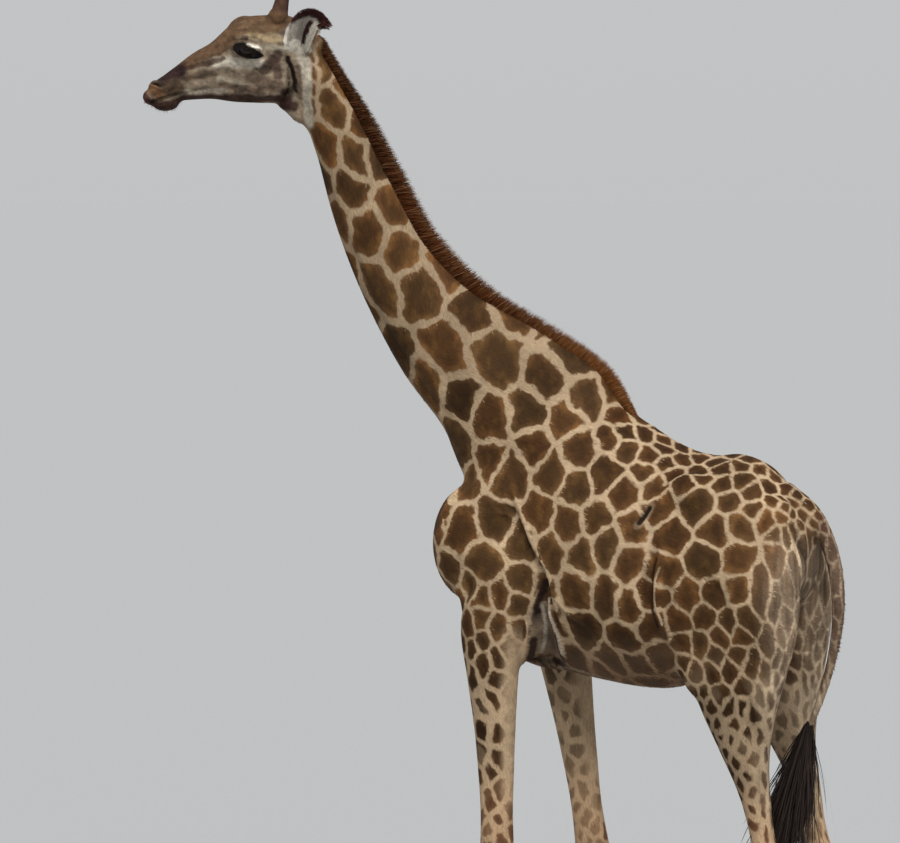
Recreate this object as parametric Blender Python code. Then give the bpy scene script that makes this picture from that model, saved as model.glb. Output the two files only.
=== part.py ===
"""A life-size giraffe standing still with its head turned a little to its left.

The flesh is two closed skins, one for the head and one for the rest, each grown from
lofts and swellings that a voxel remesh joins. Thin cuts part them into head, neck,
trunk, tail, thighs, forearms and shanks. Ears, horns, eyes, hooves, mane and tail tuft
are solids of their own, fitted to the flesh with a hair's gap.

The animal faces -Y, +X is its left, and the floor is z = 0. Sizes are metres.
"""

import math
from typing import NamedTuple

import bmesh
import bpy
import numpy as np
from mathutils import Matrix, Vector

# Where the animal's own datum (chest line, floor) lies from the middle of its box.
ORIGIN_SHIFT = Vector((-0.136, -0.298, 0.0))

# Gaps between neighbouring solids.
CUT = 0.0012
FIT = 0.0015

# Fineness of the two skins, and the hollow radius that joins their swellings.
BODY_VOXEL, BODY_FILLET, BODY_TRIANGLES = 0.014, 0.045, 3450
HEAD_VOXEL, HEAD_FILLET, HEAD_TRIANGLES = 0.006, 0.022, 1150
SMOOTHING = 10

# Heading of the head, turned from straight ahead towards the animal's left.
HEAD_TURN = math.radians(28.0)
HEAD_POLL = Vector((0.28, -0.458, 0.0))
HEAD_FORWARD = Vector((math.sin(HEAD_TURN), -math.cos(HEAD_TURN), 0.0))
HEAD_LEFT = Vector((math.cos(HEAD_TURN), math.sin(HEAD_TURN), 0.0))
UP = Vector((0.0, 0.0, 1.0))
AHEAD = Vector((0.0, -1.0, 0.0))
BACK = Vector((0.0, 1.0, 0.0))

LEFT, RIGHT = 1, -1
SIDE_NAMES = {LEFT: "left", RIGHT: "right"}

# Heights of the joints of the legs, and how far each leg stands from the middle.
ELBOW_Z, KNEE_Z, FETLOCK_Z, CORONET_Z = 1.82, 0.96, 0.235, 0.098
LEG_OUT = 0.18

# How far behind the chest line elbow, knee and fetlock of each foreleg lie.
FORE_JOINTS = {LEFT: (0.285, 0.300, 0.307), RIGHT: (0.375, 0.530, 0.640)}

# How far behind the chest line the hind legs stand, and how far each is set back.
HIND_FOOT_Y, HIND_CORONET_Y = 1.425, 1.392
HIND_OFFSET = {LEFT: 0.0, RIGHT: 0.045}

# How far the coronet lies ahead of the fetlock, and the slope of the coronet.
PASTERN_REACH = 0.038
CORONET_SLOPE = 0.22

# Slopes of the cuts: flank, root of the neck, nape, root of the tail.
FLANK_SLOPE = math.radians(38.9)
COLLAR_SLOPE = math.radians(31.0)
NAPE_SLOPE = math.radians(31.0)
DOCK_SLOPE = math.radians(30.0)

# A point on each of those cuts.
FLANK_SEAM = Vector((0.0, 1.33, 1.892))
COLLAR_SEAM = Vector((0.10, 0.36, 2.56))
NAPE_SEAM = Vector((0.262, -0.392, 3.815))
DOCK_SEAM = Vector((0.0, 1.560, 2.195))

# How far behind its elbow the cut around a forearm reaches.
ARMPIT_REACH = 0.155

EYE_RADIUS = 0.027
EYE_PLACE = (0.227, 0.0945, 4.020)
HORN_LENGTH = 0.165
EAR_FACE = (0.22, 0.93, -0.28)


class Station(NamedTuple):
    """One cross-section of a loft: its place and its reach to the sides, over and under."""

    at: tuple
    side: float
    over: float
    under: float
    pear: float = 0.0


def clear_scene():
    for old in list(bpy.data.objects):
        bpy.data.objects.remove(old, do_unlink=True)


def material(name, colour, roughness):
    """A plain Principled finish for a kind of part."""
    made = bpy.data.materials.new(name)
    made.use_nodes = True
    shader = made.node_tree.nodes["Principled BSDF"]
    shader.inputs["Base Color"].default_value = (*colour, 1.0)
    shader.inputs["Roughness"].default_value = roughness
    shader.inputs["Metallic"].default_value = 0.0
    return made


def head_point(forward, left, height):
    """A place given along the head's own heading, as a vector of the animal's frame."""
    return HEAD_POLL + HEAD_FORWARD * forward + HEAD_LEFT * left + UP * height


def smooth_rows(rows, steps):
    """Rows of numbers, first three the place, with Hermite curves drawn through them."""
    rows = np.array(rows, float)
    knots = np.concatenate([[0.0], np.cumsum(np.linalg.norm(np.diff(rows[:, :3], axis=0), axis=1))])
    slopes = np.gradient(rows, knots, axis=0)
    made = []
    for i in range(len(rows) - 1):
        span = knots[i + 1] - knots[i]
        for t in np.linspace(0.0, 1.0, steps, endpoint=False):
            made.append(
                (1 + 2 * t) * (1 - t) ** 2 * rows[i]
                + t * (1 - t) ** 2 * span * slopes[i]
                + t * t * (3 - 2 * t) * rows[i + 1]
                + t * t * (t - 1) * span * slopes[i + 1]
            )
    made.append(rows[-1])
    return np.array(made)


def loft(stations, over, normal=None, ring=20, steps=4, domes=3):
    """(points, faces) of a closed loft through the stations.

    over points to the side that Station.over reaches; normal fixes the planes of the
    sections, which otherwise stand square to the path. Both ends are rounded off.
    """
    rows = smooth_rows([(*s.at, s.side, s.over, s.under, s.pear) for s in stations], steps)
    centres = rows[:, :3]
    tangents = np.gradient(centres, axis=0)
    tangents /= np.linalg.norm(tangents, axis=1)[:, None]
    planes = np.tile(np.array(normal, float), (len(rows), 1)) if normal else tangents
    turns = np.linspace(0.0, 2 * math.pi, ring, endpoint=False)
    across, rise = np.cos(turns), np.sin(turns)
    rings = []

    def add_ring(row, plane, along, scale):
        upward = np.array(over, float) - plane * np.dot(over, plane)
        upward /= np.linalg.norm(upward)
        sideways = np.cross(upward, plane)
        wide = row[3] * across * (1 + row[6] * rise)
        tall = np.where(rise > 0, row[4], row[5]) * rise
        rings.append(row[:3] + along + scale * (np.outer(wide, sideways) + np.outer(tall, upward)))

    dome_angles = [math.radians(90.0 * k / domes) for k in range(domes - 1, 0, -1)]
    for angle in dome_angles:
        reach = 0.6 * min(rows[0][3:6]) * math.sin(angle)
        add_ring(rows[0], planes[0], -tangents[0] * reach, math.cos(angle))
    for row, plane in zip(rows, planes):
        add_ring(row, plane, np.zeros(3), 1.0)
    for angle in reversed(dome_angles):
        reach = 0.6 * min(rows[-1][3:6]) * math.sin(angle)
        add_ring(rows[-1], planes[-1], tangents[-1] * reach, math.cos(angle))
    points = np.concatenate(rings)
    tips = [
        centres[0] - tangents[0] * 0.6 * min(rows[0][3:6]),
        centres[-1] + tangents[-1] * 0.6 * min(rows[-1][3:6]),
    ]
    first_tip, last_tip = len(points), len(points) + 1
    faces = []
    for r in range(len(rings) - 1):
        for k in range(ring):
            a, b = r * ring + k, r * ring + (k + 1) % ring
            faces.append((a, b, b + ring, a + ring))
    base = (len(rings) - 1) * ring
    for k in range(ring):
        faces.append((first_tip, (k + 1) % ring, k))
        faces.append((last_tip, base + k, base + (k + 1) % ring))
    return np.concatenate([points, tips]), faces


def ellipsoid(centre, radii, axes=None, ring=16):
    """(points, faces) of an ellipsoid, its axes the world's or three given vectors."""
    frame = Matrix.Identity(3) if axes is None else Matrix(axes).transposed()
    shape = bmesh.new()
    bmesh.ops.create_uvsphere(shape, u_segments=ring, v_segments=ring // 2, radius=1.0)
    points = [Vector(centre) + frame @ Vector(v.co * Vector(radii)) for v in shape.verts]
    faces = [tuple(v.index for v in face.verts) for face in shape.faces]
    shape.free()
    return np.array(points), faces


def new_object(name, shapes, finish=None):
    """One object holding every shape given, with its faces turned outwards."""
    points, faces = [], []
    for shape_points, shape_faces in shapes:
        start = len(points)
        points.extend(map(tuple, shape_points))
        faces.extend(tuple(start + i for i in face) for face in shape_faces)
    mesh = bpy.data.meshes.new(name)
    mesh.from_pydata(points, [], faces)
    turned = bmesh.new()
    turned.from_mesh(mesh)
    bmesh.ops.recalc_face_normals(turned, faces=turned.faces)
    turned.to_mesh(mesh)
    turned.free()
    made = bpy.data.objects.new(name, mesh)
    bpy.context.scene.collection.objects.link(made)
    if finish:
        mesh.materials.append(finish)
    return made


def baked(obj):
    """The object with its modifiers turned into its mesh."""
    bpy.context.view_layer.update()
    evaluated = obj.evaluated_get(bpy.context.evaluated_depsgraph_get())
    mesh = bpy.data.meshes.new_from_object(evaluated)
    obj.modifiers.clear()
    obj.data = mesh
    return obj


def relax(obj, rounds):
    """Smooths a mesh without shrinking it, by steps that pull in and push out in turn."""
    mesh = obj.data
    points = np.empty(len(mesh.vertices) * 3)
    mesh.vertices.foreach_get("co", points)
    points = points.reshape(-1, 3)
    edges = np.empty(len(mesh.edges) * 2, np.int64)
    mesh.edges.foreach_get("vertices", edges)
    ends = np.concatenate([edges.reshape(-1, 2), edges.reshape(-1, 2)[:, ::-1]])
    counts = np.bincount(ends[:, 0], minlength=len(points))[:, None]
    for step in range(rounds):
        for weight in (0.55, -0.50):
            summed = np.stack(
                [np.bincount(ends[:, 0], points[ends[:, 1], k], len(points)) for k in range(3)], 1
            )
            points = points + weight * (summed / counts - points)
    mesh.vertices.foreach_set("co", points.ravel())
    mesh.update()


def displaced(obj, by):
    """Moves a surface along its own normals."""
    step = obj.modifiers.new("displace", "DISPLACE")
    step.strength = by
    step.mid_level = 0.0
    return baked(obj)


def remeshed(obj, voxel):
    """One closed skin around everything that the object holds."""
    step = obj.modifiers.new("join", "REMESH")
    step.mode = "VOXEL"
    step.voxel_size = voxel
    return baked(obj)


def grown(name, shapes, slender, voxel, fillet, triangles):
    """One closed skin around all the shapes, smoothed and thinned out.

    The shapes are swollen, joined and drawn in again by as much, which leaves every
    hollow between them with a soft radius. The slender ones join afterwards.
    """
    obj = new_object(name, shapes)
    displaced(obj, fillet)
    remeshed(obj, voxel)
    relax(obj, SMOOTHING)
    displaced(obj, -fillet)
    if slender:
        extra = new_object("slender", slender)
        with bpy.context.temp_override(active_object=obj, selected_editable_objects=[obj, extra]):
            bpy.ops.object.join()
    remeshed(obj, voxel)
    relax(obj, SMOOTHING)
    thin = obj.modifiers.new("thin", "DECIMATE")
    thin.ratio = triangles / (2 * len(obj.data.polygons))
    return baked(obj)


def boolean(obj, cutter, operation="DIFFERENCE"):
    """Cuts or joins, keeps the result, and drops the cutter."""
    step = obj.modifiers.new("step", "BOOLEAN")
    step.operation = operation
    step.solver = "EXACT"
    step.object = cutter
    baked(obj)
    bpy.data.objects.remove(cutter, do_unlink=True)
    return obj


def box(centre, size, rotation=None):
    """(points, faces) of a block, turned about its middle."""
    corners = [
        Vector((x * size[0], y * size[1], z * size[2])) / 2
        for x in (-1, 1)
        for y in (-1, 1)
        for z in (-1, 1)
    ]
    turn = rotation if rotation else Matrix.Identity(3)
    faces = [(0, 1, 3, 2), (4, 6, 7, 5), (0, 4, 5, 1), (2, 3, 7, 6), (0, 2, 6, 4), (1, 5, 7, 3)]
    return np.array([Vector(centre) + turn @ c for c in corners]), faces


def copy_of(obj):
    made = bpy.data.objects.new("copy", obj.data.copy())
    bpy.context.scene.collection.objects.link(made)
    return made


def carve(obj, name, centre, size, rotation=None):
    """Takes what lies in a block out of a solid, as a solid of its own with a thin gap."""
    piece = copy_of(obj)
    boolean(piece, new_object("block", [box(centre, size, rotation)]), "INTERSECT")
    wider = [length + 2 * CUT for length in size]
    boolean(obj, new_object("block", [box(centre, wider, rotation)]))
    piece.name = name
    return piece


def loose_pieces(obj):
    """The separate closed pieces of a mesh, as new objects. The object itself goes."""
    shape = bmesh.new()
    shape.from_mesh(obj.data)
    shape.verts.ensure_lookup_table()
    piece_of = {}
    pieces = []
    for seed in shape.verts:
        if seed.index in piece_of:
            continue
        piece_of[seed.index] = len(pieces)
        queue, found = [seed], []
        while queue:
            vertex = queue.pop()
            found.append(vertex)
            for edge in vertex.link_edges:
                other = edge.other_vert(vertex)
                if other.index not in piece_of:
                    piece_of[other.index] = len(pieces)
                    queue.append(other)
        pieces.append(found)
    made = []
    for found in pieces:
        place = {v.index: i for i, v in enumerate(found)}
        faces = {face for v in found for face in v.link_faces}
        ordered = sorted(faces, key=lambda face: face.index)
        points = np.array([v.co for v in found])
        made.append(new_object("piece", [(points, [[place[v.index] for v in f.verts] for f in ordered])]))
    shape.free()
    bpy.data.objects.remove(obj, do_unlink=True)
    return made


def trunk_shapes():
    """Barrel, croup and brisket, as sections square to the spine."""
    sections = (
        # y, top, bottom, half width, pear
        (0.16, 2.42, 1.88, 0.165, 0.05),
        (0.26, 2.62, 1.755, 0.205, 0.10),
        (0.38, 2.72, 1.705, 0.235, 0.10),
        (0.52, 2.765, 1.690, 0.270, 0.02),
        (0.68, 2.720, 1.670, 0.305, -0.06),
        (0.84, 2.630, 1.655, 0.325, -0.08),
        (0.98, 2.555, 1.665, 0.322, -0.06),
        (1.10, 2.525, 1.715, 0.300, 0.00),
        (1.22, 2.530, 1.80, 0.275, 0.06),
        (1.32, 2.490, 1.89, 0.238, 0.08),
        (1.40, 2.405, 1.98, 0.175, 0.05),
    )
    stations = []
    for y, top, bottom, half, pear in sections:
        level = bottom + 0.46 * (top - bottom)
        stations.append(Station((0.0, y, level), half, top - level, level - bottom, pear))
    return [loft(stations, UP, normal=tuple(BACK), ring=28)]


def neck_stations():
    """The neck from inside the shoulders to inside the skull, its path bending left."""
    return [
        Station((0.000, 0.530, 2.430), 0.215, 0.330, 0.400, 0.0),
        Station((0.010, 0.345, 2.630), 0.190, 0.352, 0.352, -0.10),
        Station((0.040, 0.228, 2.765), 0.158, 0.293, 0.295, -0.15),
        Station((0.090, 0.025, 2.951), 0.122, 0.229, 0.229, -0.16),
        Station((0.150, -0.159, 3.214), 0.100, 0.169, 0.169, -0.14),
        Station((0.200, -0.264, 3.476), 0.088, 0.143, 0.145, -0.12),
        Station((0.245, -0.352, 3.727), 0.078, 0.113, 0.113, -0.06),
        Station((0.272, -0.415, 3.875), 0.076, 0.098, 0.102, 0.0),
        Station((0.300, -0.490, 3.985), 0.074, 0.090, 0.092, 0.0),
    ]


NECK_DORSAL = Vector((0.0, 0.86, 0.51))


def shoulder_shapes(side):
    """Shoulder blade, point of the shoulder, upper arm and its muscle."""
    blade = [
        Station((side * 0.060, 0.50, 2.66), 0.070, 0.110, 0.110),
        Station((side * 0.120, 0.38, 2.48), 0.085, 0.130, 0.130),
        Station((side * 0.165, 0.25, 2.28), 0.090, 0.130, 0.140),
        Station((side * 0.185, 0.18, 2.14), 0.088, 0.120, 0.130),
    ]
    return [
        loft(blade, AHEAD, ring=16),
        ellipsoid((side * 0.140, 0.172, 2.175), (0.125, 0.165, 0.225)),
        ellipsoid((side * 0.170, 0.320, 2.03), (0.100, 0.160, 0.270)),
        ellipsoid((side * 0.055, 0.245, 1.99), (0.115, 0.155, 0.220)),
    ]


def joint_line(heights, places, z):
    """How far back a leg stands at a height, drawn straight from joint to joint."""
    return float(np.interp(z, heights[::-1], places[::-1]))


def foreleg_shapes(side):
    """One foreleg from inside the shoulder down to the coronet."""
    sections = (
        # z, half width, reach ahead, reach back
        (1.96, 0.075, 0.135, 0.150),
        (1.82, 0.080, 0.132, 0.128),
        (1.68, 0.074, 0.110, 0.105),
        (1.50, 0.062, 0.087, 0.086),
        (1.34, 0.056, 0.077, 0.076),
        (1.16, 0.053, 0.068, 0.066),
        (1.05, 0.060, 0.071, 0.067),
        (0.96, 0.065, 0.077, 0.068),
        (0.87, 0.056, 0.060, 0.062),
        (0.74, 0.042, 0.045, 0.049),
        (0.48, 0.037, 0.040, 0.044),
        (0.33, 0.042, 0.046, 0.052),
        (0.235, 0.052, 0.054, 0.062),
        (0.165, 0.056, 0.058, 0.052),
        (0.10, 0.078, 0.082, 0.072),
        (0.06, 0.078, 0.082, 0.072),
    )
    heights = (ELBOW_Z, KNEE_Z, FETLOCK_Z)
    stations = []
    for z, half, ahead, behind in sections:
        y = joint_line(heights, FORE_JOINTS[side], z)
        forward = PASTERN_REACH * min(1.0, max(0.0, (FETLOCK_Z - z) / (FETLOCK_Z - CORONET_Z)))
        out = LEG_OUT + 0.022 * min(1.0, max(0.0, (z - 1.2) / 0.6))
        stations.append(Station((side * out, y - forward, z), half, ahead, behind))
    return [loft(stations, AHEAD, normal=(0, 0, 1), ring=16, steps=3)]


def hind_leg_shapes(side):
    """One hind leg: thigh, gaskin, hock, cannon and pastern."""
    sections = (
        # z, front edge, rear edge, half width, out
        (2.36, 1.12, 1.45, 0.090, 0.105),
        (2.20, 1.06, 1.490, 0.112, 0.135),
        (2.05, 1.035, 1.505, 0.122, 0.150),
        (1.90, 1.045, 1.500, 0.120, 0.160),
        (1.76, 1.070, 1.465, 0.108, 0.168),
        (1.62, 1.125, 1.425, 0.090, 0.174),
        (1.48, 1.200, 1.402, 0.072, 0.178),
        (1.30, 1.285, 1.410, 0.056, 0.180),
        (1.15, 1.325, 1.432, 0.050, 0.180),
        (1.05, 1.343, 1.465, 0.054, 0.180),
        (0.97, 1.355, 1.490, 0.058, 0.180),
        (0.88, 1.365, 1.470, 0.050, 0.180),
        (0.74, 1.378, 1.460, 0.040, 0.180),
        (0.48, 1.388, 1.464, 0.036, 0.180),
        (0.33, 1.384, 1.478, 0.042, 0.180),
        (0.235, 1.376, 1.488, 0.052, 0.180),
        (0.165, 1.350, 1.462, 0.056, 0.180),
        (0.10, 1.315, 1.470, 0.078, 0.180),
        (0.06, 1.315, 1.470, 0.078, 0.180),
    )
    stations = []
    for z, front, rear, half, out in sections:
        middle = (front + rear) / 2 + HIND_OFFSET[side] * min(1.0, max(0.0, (1.9 - z) / 0.6))
        reach = (rear - front) / 2
        stations.append(Station((side * out, middle, z), half, reach, reach))
    return [
        loft(stations, AHEAD, normal=(0, 0, 1), ring=16, steps=3),
        ellipsoid((side * 0.160, 1.090, 2.390), (0.100, 0.120, 0.080)),
        ellipsoid((side * 0.190, 1.140, 1.800), (0.075, 0.095, 0.150)),
        ellipsoid((side * 0.085, 1.430, 2.180), (0.070, 0.075, 0.170)),
    ]


def tail_stations():
    """The dock, over the croup and down between the buttocks."""
    return [
        Station((0.0, 1.375, 2.405), 0.055, 0.040, 0.050),
        Station((0.0, 1.485, 2.330), 0.046, 0.036, 0.040),
        Station((0.0, 1.560, 2.195), 0.034, 0.029, 0.030),
        Station((0.0, 1.590, 2.000), 0.028, 0.024, 0.024),
        Station((0.0, 1.570, 1.820), 0.022, 0.019, 0.019),
        Station((0.0, 1.525, 1.660), 0.018, 0.016, 0.016),
        Station((0.004, 1.485, 1.555), 0.017, 0.016, 0.016),
    ]


def tuft_stations():
    """The long black hair at the end of the tail."""
    return [
        Station((0.005, 1.482, 1.552), 0.020, 0.018, 0.018),
        Station((0.008, 1.455, 1.470), 0.044, 0.042, 0.040),
        Station((0.010, 1.425, 1.360), 0.056, 0.056, 0.052),
        Station((0.012, 1.400, 1.240), 0.052, 0.052, 0.050),
        Station((0.014, 1.385, 1.110), 0.036, 0.036, 0.036),
        Station((0.016, 1.380, 0.990), 0.014, 0.014, 0.014),
    ]


def head_shapes():
    """The skull and jaws, as upright sections along the head, with their swellings."""
    sections = (
        # forward, top, bottom, half width, pear
        (-0.035, 4.085, 3.965, 0.055, 0.0),
        (0.010, 4.128, 3.905, 0.072, 0.05),
        (0.060, 4.154, 3.852, 0.080, 0.15),
        (0.111, 4.164, 3.826, 0.083, 0.22),
        (0.162, 4.160, 3.824, 0.086, 0.25),
        (0.220, 4.156, 3.826, 0.086, 0.25),
        (0.262, 4.147, 3.828, 0.082, 0.22),
        (0.305, 4.114, 3.832, 0.075, 0.15),
        (0.366, 4.058, 3.840, 0.064, 0.08),
        (0.430, 4.020, 3.838, 0.057, 0.05),
        (0.494, 3.972, 3.832, 0.053, 0.03),
        (0.545, 3.934, 3.828, 0.054, 0.0),
        (0.585, 3.906, 3.824, 0.050, 0.0),
        (0.608, 3.880, 3.822, 0.040, 0.0),
    )
    stations = []
    for forward, top, bottom, half, pear in sections:
        level = (top + bottom) / 2
        place = head_point(forward, 0.0, level)
        stations.append(Station(tuple(place), half, top - level, level - bottom, pear))
    axes = (HEAD_FORWARD, HEAD_LEFT, UP)
    shapes = [
        loft(stations, UP, normal=tuple(-HEAD_FORWARD), ring=24, steps=3),
        loft(neck_stations()[5:], NECK_DORSAL, ring=20),
        ellipsoid(head_point(0.235, 0.0, 4.075), (0.080, 0.056, 0.083), axes),
        ellipsoid(head_point(0.590, 0.0, 3.850), (0.038, 0.046, 0.034), axes),
        ellipsoid(head_point(0.540, 0.0, 3.830), (0.055, 0.040, 0.036), axes),
    ]
    for side in (LEFT, RIGHT):
        shapes += [
            ellipsoid(head_point(0.224, side * 0.074, 4.022), (0.064, 0.040, 0.046), axes),
            ellipsoid(head_point(0.212, side * 0.063, 4.058), (0.072, 0.042, 0.036), axes),
            ellipsoid(head_point(0.155, side * 0.040, 3.942), (0.112, 0.038, 0.102), axes),
            ellipsoid(head_point(0.560, side * 0.026, 3.886), (0.045, 0.026, 0.030), axes),
            ellipsoid(head_point(0.112, side * 0.046, 4.145), (0.040, 0.030, 0.045), axes),
            ellipsoid(head_point(0.050, side * 0.062, 4.045), (0.032, 0.032, 0.036), axes),
        ]
    return shapes + [throat_shape()]


def horn_shape(side):
    """One skin-covered horn, leaning back and out, with a rounded end."""
    foot = head_point(0.112, side * 0.050, 4.140)
    lean = (UP - HEAD_FORWARD * 0.20 + HEAD_LEFT * (side * 0.10)).normalized()
    profile = ((0.0, 0.034), (0.25, 0.0285), (0.5, 0.0235), (0.75, 0.0225), (0.92, 0.0255), (1.0, 0.0215))
    stations = [
        Station(tuple(foot + lean * (HORN_LENGTH * along)), radius, radius, radius)
        for along, radius in profile
    ]
    return loft(stations, HEAD_FORWARD, ring=12, steps=1)


def ear_object(side):
    """A leaf-shaped ear: it stands up, curls back at its tip, and opens outwards."""
    sections = (
        # forward, out, height, half width, half thickness
        (0.037, 0.068, 4.008, 0.028, 0.024),
        (0.031, 0.088, 4.042, 0.044, 0.022),
        (0.017, 0.112, 4.095, 0.051, 0.019),
        (-0.012, 0.132, 4.136, 0.044, 0.015),
        (-0.047, 0.139, 4.138, 0.026, 0.012),
        (-0.078, 0.140, 4.122, 0.008, 0.006),
    )
    face = HEAD_LEFT * (side * EAR_FACE[1]) + HEAD_FORWARD * EAR_FACE[0] + UP * EAR_FACE[2]
    stations = [
        Station(tuple(head_point(forward, side * out, height)), half, thick, thick)
        for forward, out, height, half, thick in sections
    ]
    ear = new_object(f"ear_{SIDE_NAMES[side]}", [loft(stations, face, ring=12, steps=1, domes=2)])
    middle = (Vector(stations[1].at) + Vector(stations[3].at)) / 2 + face * 0.018
    along = (Vector(stations[3].at) - Vector(stations[1].at)).normalized()
    across = along.cross(face).normalized()
    bowl = ellipsoid(middle, (0.064, 0.034, 0.019), (along, across, across.cross(along)), ring=10)
    return boolean(ear, new_object("bowl", [bowl]))


def throat_shape():
    """The fold of loose skin that joins the angle of the jaw to the neck."""
    along = (HEAD_FORWARD * 0.70 + UP * 0.72).normalized()
    return ellipsoid(head_point(0.052, 0.0, 3.800), (0.075, 0.036, 0.030), (along, HEAD_LEFT, along.cross(HEAD_LEFT)))


def mane_stations():
    """The stiff crest along the nape, from the poll to the withers."""
    stations = []
    heights = (0.078, 0.084, 0.084, 0.078, 0.074, 0.066, 0.062)
    for station, height in zip(neck_stations()[1:8], heights):
        dorsal = NECK_DORSAL.normalized() * (station.over - 0.012)
        stations.append(Station(tuple(Vector(station.at) + dorsal), 0.024, height, 0.030, -0.72))
    first = Station((0.002, 0.770, 2.640), 0.014, 0.034, 0.024, -0.72)
    last = Station(tuple(head_point(-0.030, 0.0, 4.070)), 0.018, 0.055, 0.030, -0.72)
    return [first, *stations, last]


def claw_shape(side, claw, coronet_y):
    """One of a foot's two claws: flat sole, sloping wall, top level with the coronet."""
    ring = 20
    levels = (
        # share of the height, half length, half width
        (0.0, 0.107, 0.0465),
        (0.04, 0.104, 0.0460),
        (1.0, 0.080, 0.0390),
    )
    apart, heel_back, toe_slope, toe_taper = 0.0490, 0.004, 0.024, 0.34
    rings = []
    for level, half_length, half_width in levels:
        for k in range(ring):
            turn = 2 * math.pi * k / ring
            along = math.cos(turn)
            x = half_width * math.sin(turn) * (1.0 - toe_taper * max(0.0, along) ** 2)
            y = coronet_y + heel_back - toe_slope * (1.0 - level) - half_length * along
            z = level * (coronet_height(y, coronet_y) - CUT)
            rings.append((side * LEG_OUT + claw * apart + x, y, z))
    faces = [tuple(range(ring)), tuple(range(2 * ring, 3 * ring))]
    for r in range(len(levels) - 1):
        for k in range(ring):
            a, b = r * ring + k, r * ring + (k + 1) % ring
            faces.append((a, b, b + ring, a + ring))
    return np.array(rings), faces


def coronet_height(y, coronet_y):
    """The plane where skin meets hoof, higher at the toe than at the heel."""
    return CORONET_Z - CORONET_SLOPE * (y - coronet_y)


def foot_places():
    """{name: (side, y of the coronet)} of the four feet."""
    places = {}
    for side in (LEFT, RIGHT):
        places[f"front_{SIDE_NAMES[side]}"] = (side, FORE_JOINTS[side][2] - PASTERN_REACH)
        places[f"hind_{SIDE_NAMES[side]}"] = (side, HIND_CORONET_Y + HIND_OFFSET[side])
    return places


def coronet_block(side, coronet_y):
    """The block below the slanting line where a leg's skin meets its hooves."""
    slope = Matrix.Rotation(-math.atan(CORONET_SLOPE), 3, "X")
    depth = 0.20
    below = slope @ Vector((0.0, 0.0, -depth / 2))
    return box(Vector((side * LEG_OUT, coronet_y, CORONET_Z)) + below, (0.26, 0.34, depth), slope)


def part_body(body):
    """Takes the body's skin apart into tail, legs, neck and trunk."""
    for side, coronet_y in foot_places().values():
        boolean(body, new_object("end", [coronet_block(side, coronet_y)]))
    dock = Matrix.Rotation(DOCK_SLOPE, 3, "X")
    boolean(body, new_object("blade", [box(DOCK_SEAM, (0.16, 0.100, CUT), dock)]))
    body, tail = sorted(loose_pieces(body), key=lambda piece: -len(piece.data.vertices))[:2]
    tail.name = "tail"
    pieces = [tail]
    flank = Matrix.Rotation(FLANK_SLOPE, 3, "X")
    shank, forearm, thigh, nape = (0.30, 0.62, 1.0), (0.38, 0.60, 0.90), (0.50, 0.90, 0.90), (1.2, 1.3, 1.5)
    for side in (LEFT, RIGHT):
        named = SIDE_NAMES[side]
        for kind, y in (("front", FORE_JOINTS[side][1]), ("hind", HIND_FOOT_Y + HIND_OFFSET[side])):
            centre = (side * LEG_OUT, y, KNEE_Z - shank[2] / 2)
            pieces.append(carve(body, f"{kind}_shank_{named}", centre, shank))
        armpit = Vector((side * 0.275, FORE_JOINTS[side][0] + ARMPIT_REACH, ELBOW_Z - 0.02))
        centre = armpit - Vector((0.0, forearm[1], forearm[2])) / 2
        pieces.append(carve(body, f"forearm_{named}", centre, forearm))
        groin = FLANK_SEAM + Vector((side * CUT, 0.0, 0.0))
        centre = groin + flank @ Vector((side * thigh[0] / 2, 0.0, -thigh[2] / 2))
        pieces.append(carve(body, f"thigh_{named}", centre, thigh, flank))
    collar = Matrix.Rotation(COLLAR_SLOPE, 3, "X")
    centre = COLLAR_SEAM + collar @ Vector((0.0, 0.0, nape[2] / 2))
    pieces.append(carve(body, "neck", centre, nape, collar))
    body.name = "trunk"
    return pieces + [body]


def build_flesh(finish):
    """Head, neck, trunk, tail and legs. Gives back copies that fitted pieces are cut by."""
    body_parts = trunk_shapes() + [loft(neck_stations(), NECK_DORSAL, ring=24), throat_shape()]
    for side in (LEFT, RIGHT):
        body_parts += shoulder_shapes(side) + foreleg_shapes(side) + hind_leg_shapes(side)
    tail = [loft(tail_stations(), BACK + UP, ring=12)]
    body = grown("body", body_parts, tail, BODY_VOXEL, BODY_FILLET, BODY_TRIANGLES)
    head = grown("head", head_shapes(), [], HEAD_VOXEL, HEAD_FILLET, HEAD_TRIANGLES)
    fitted = [displaced(copy_of(body), FIT), displaced(copy_of(head), FIT)]

    # One slanting face ends the neck and begins the head.
    tilt = Matrix.Rotation(NAPE_SLOPE, 3, "X")
    reach = 0.6
    above = box(NAPE_SEAM + tilt @ Vector((0, 0, reach / 2)), [reach] * 3, tilt)
    below = box(NAPE_SEAM + tilt @ Vector((0, 0, CUT - reach / 2)), [reach] * 3, tilt)
    boolean(body, new_object("above", [above]))
    boolean(head, new_object("below", [below]))
    for side in (LEFT, RIGHT):
        socket = ellipsoid(eye_centre(side), [EYE_RADIUS + FIT] * 3, ring=14)
        boolean(head, new_object("socket", [socket]))
    for piece in part_body(body) + [head]:
        keep_largest(piece, finish)
    return fitted


def eye_centre(side):
    forward, out, height = EYE_PLACE
    return head_point(forward, side * out, height)


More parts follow.
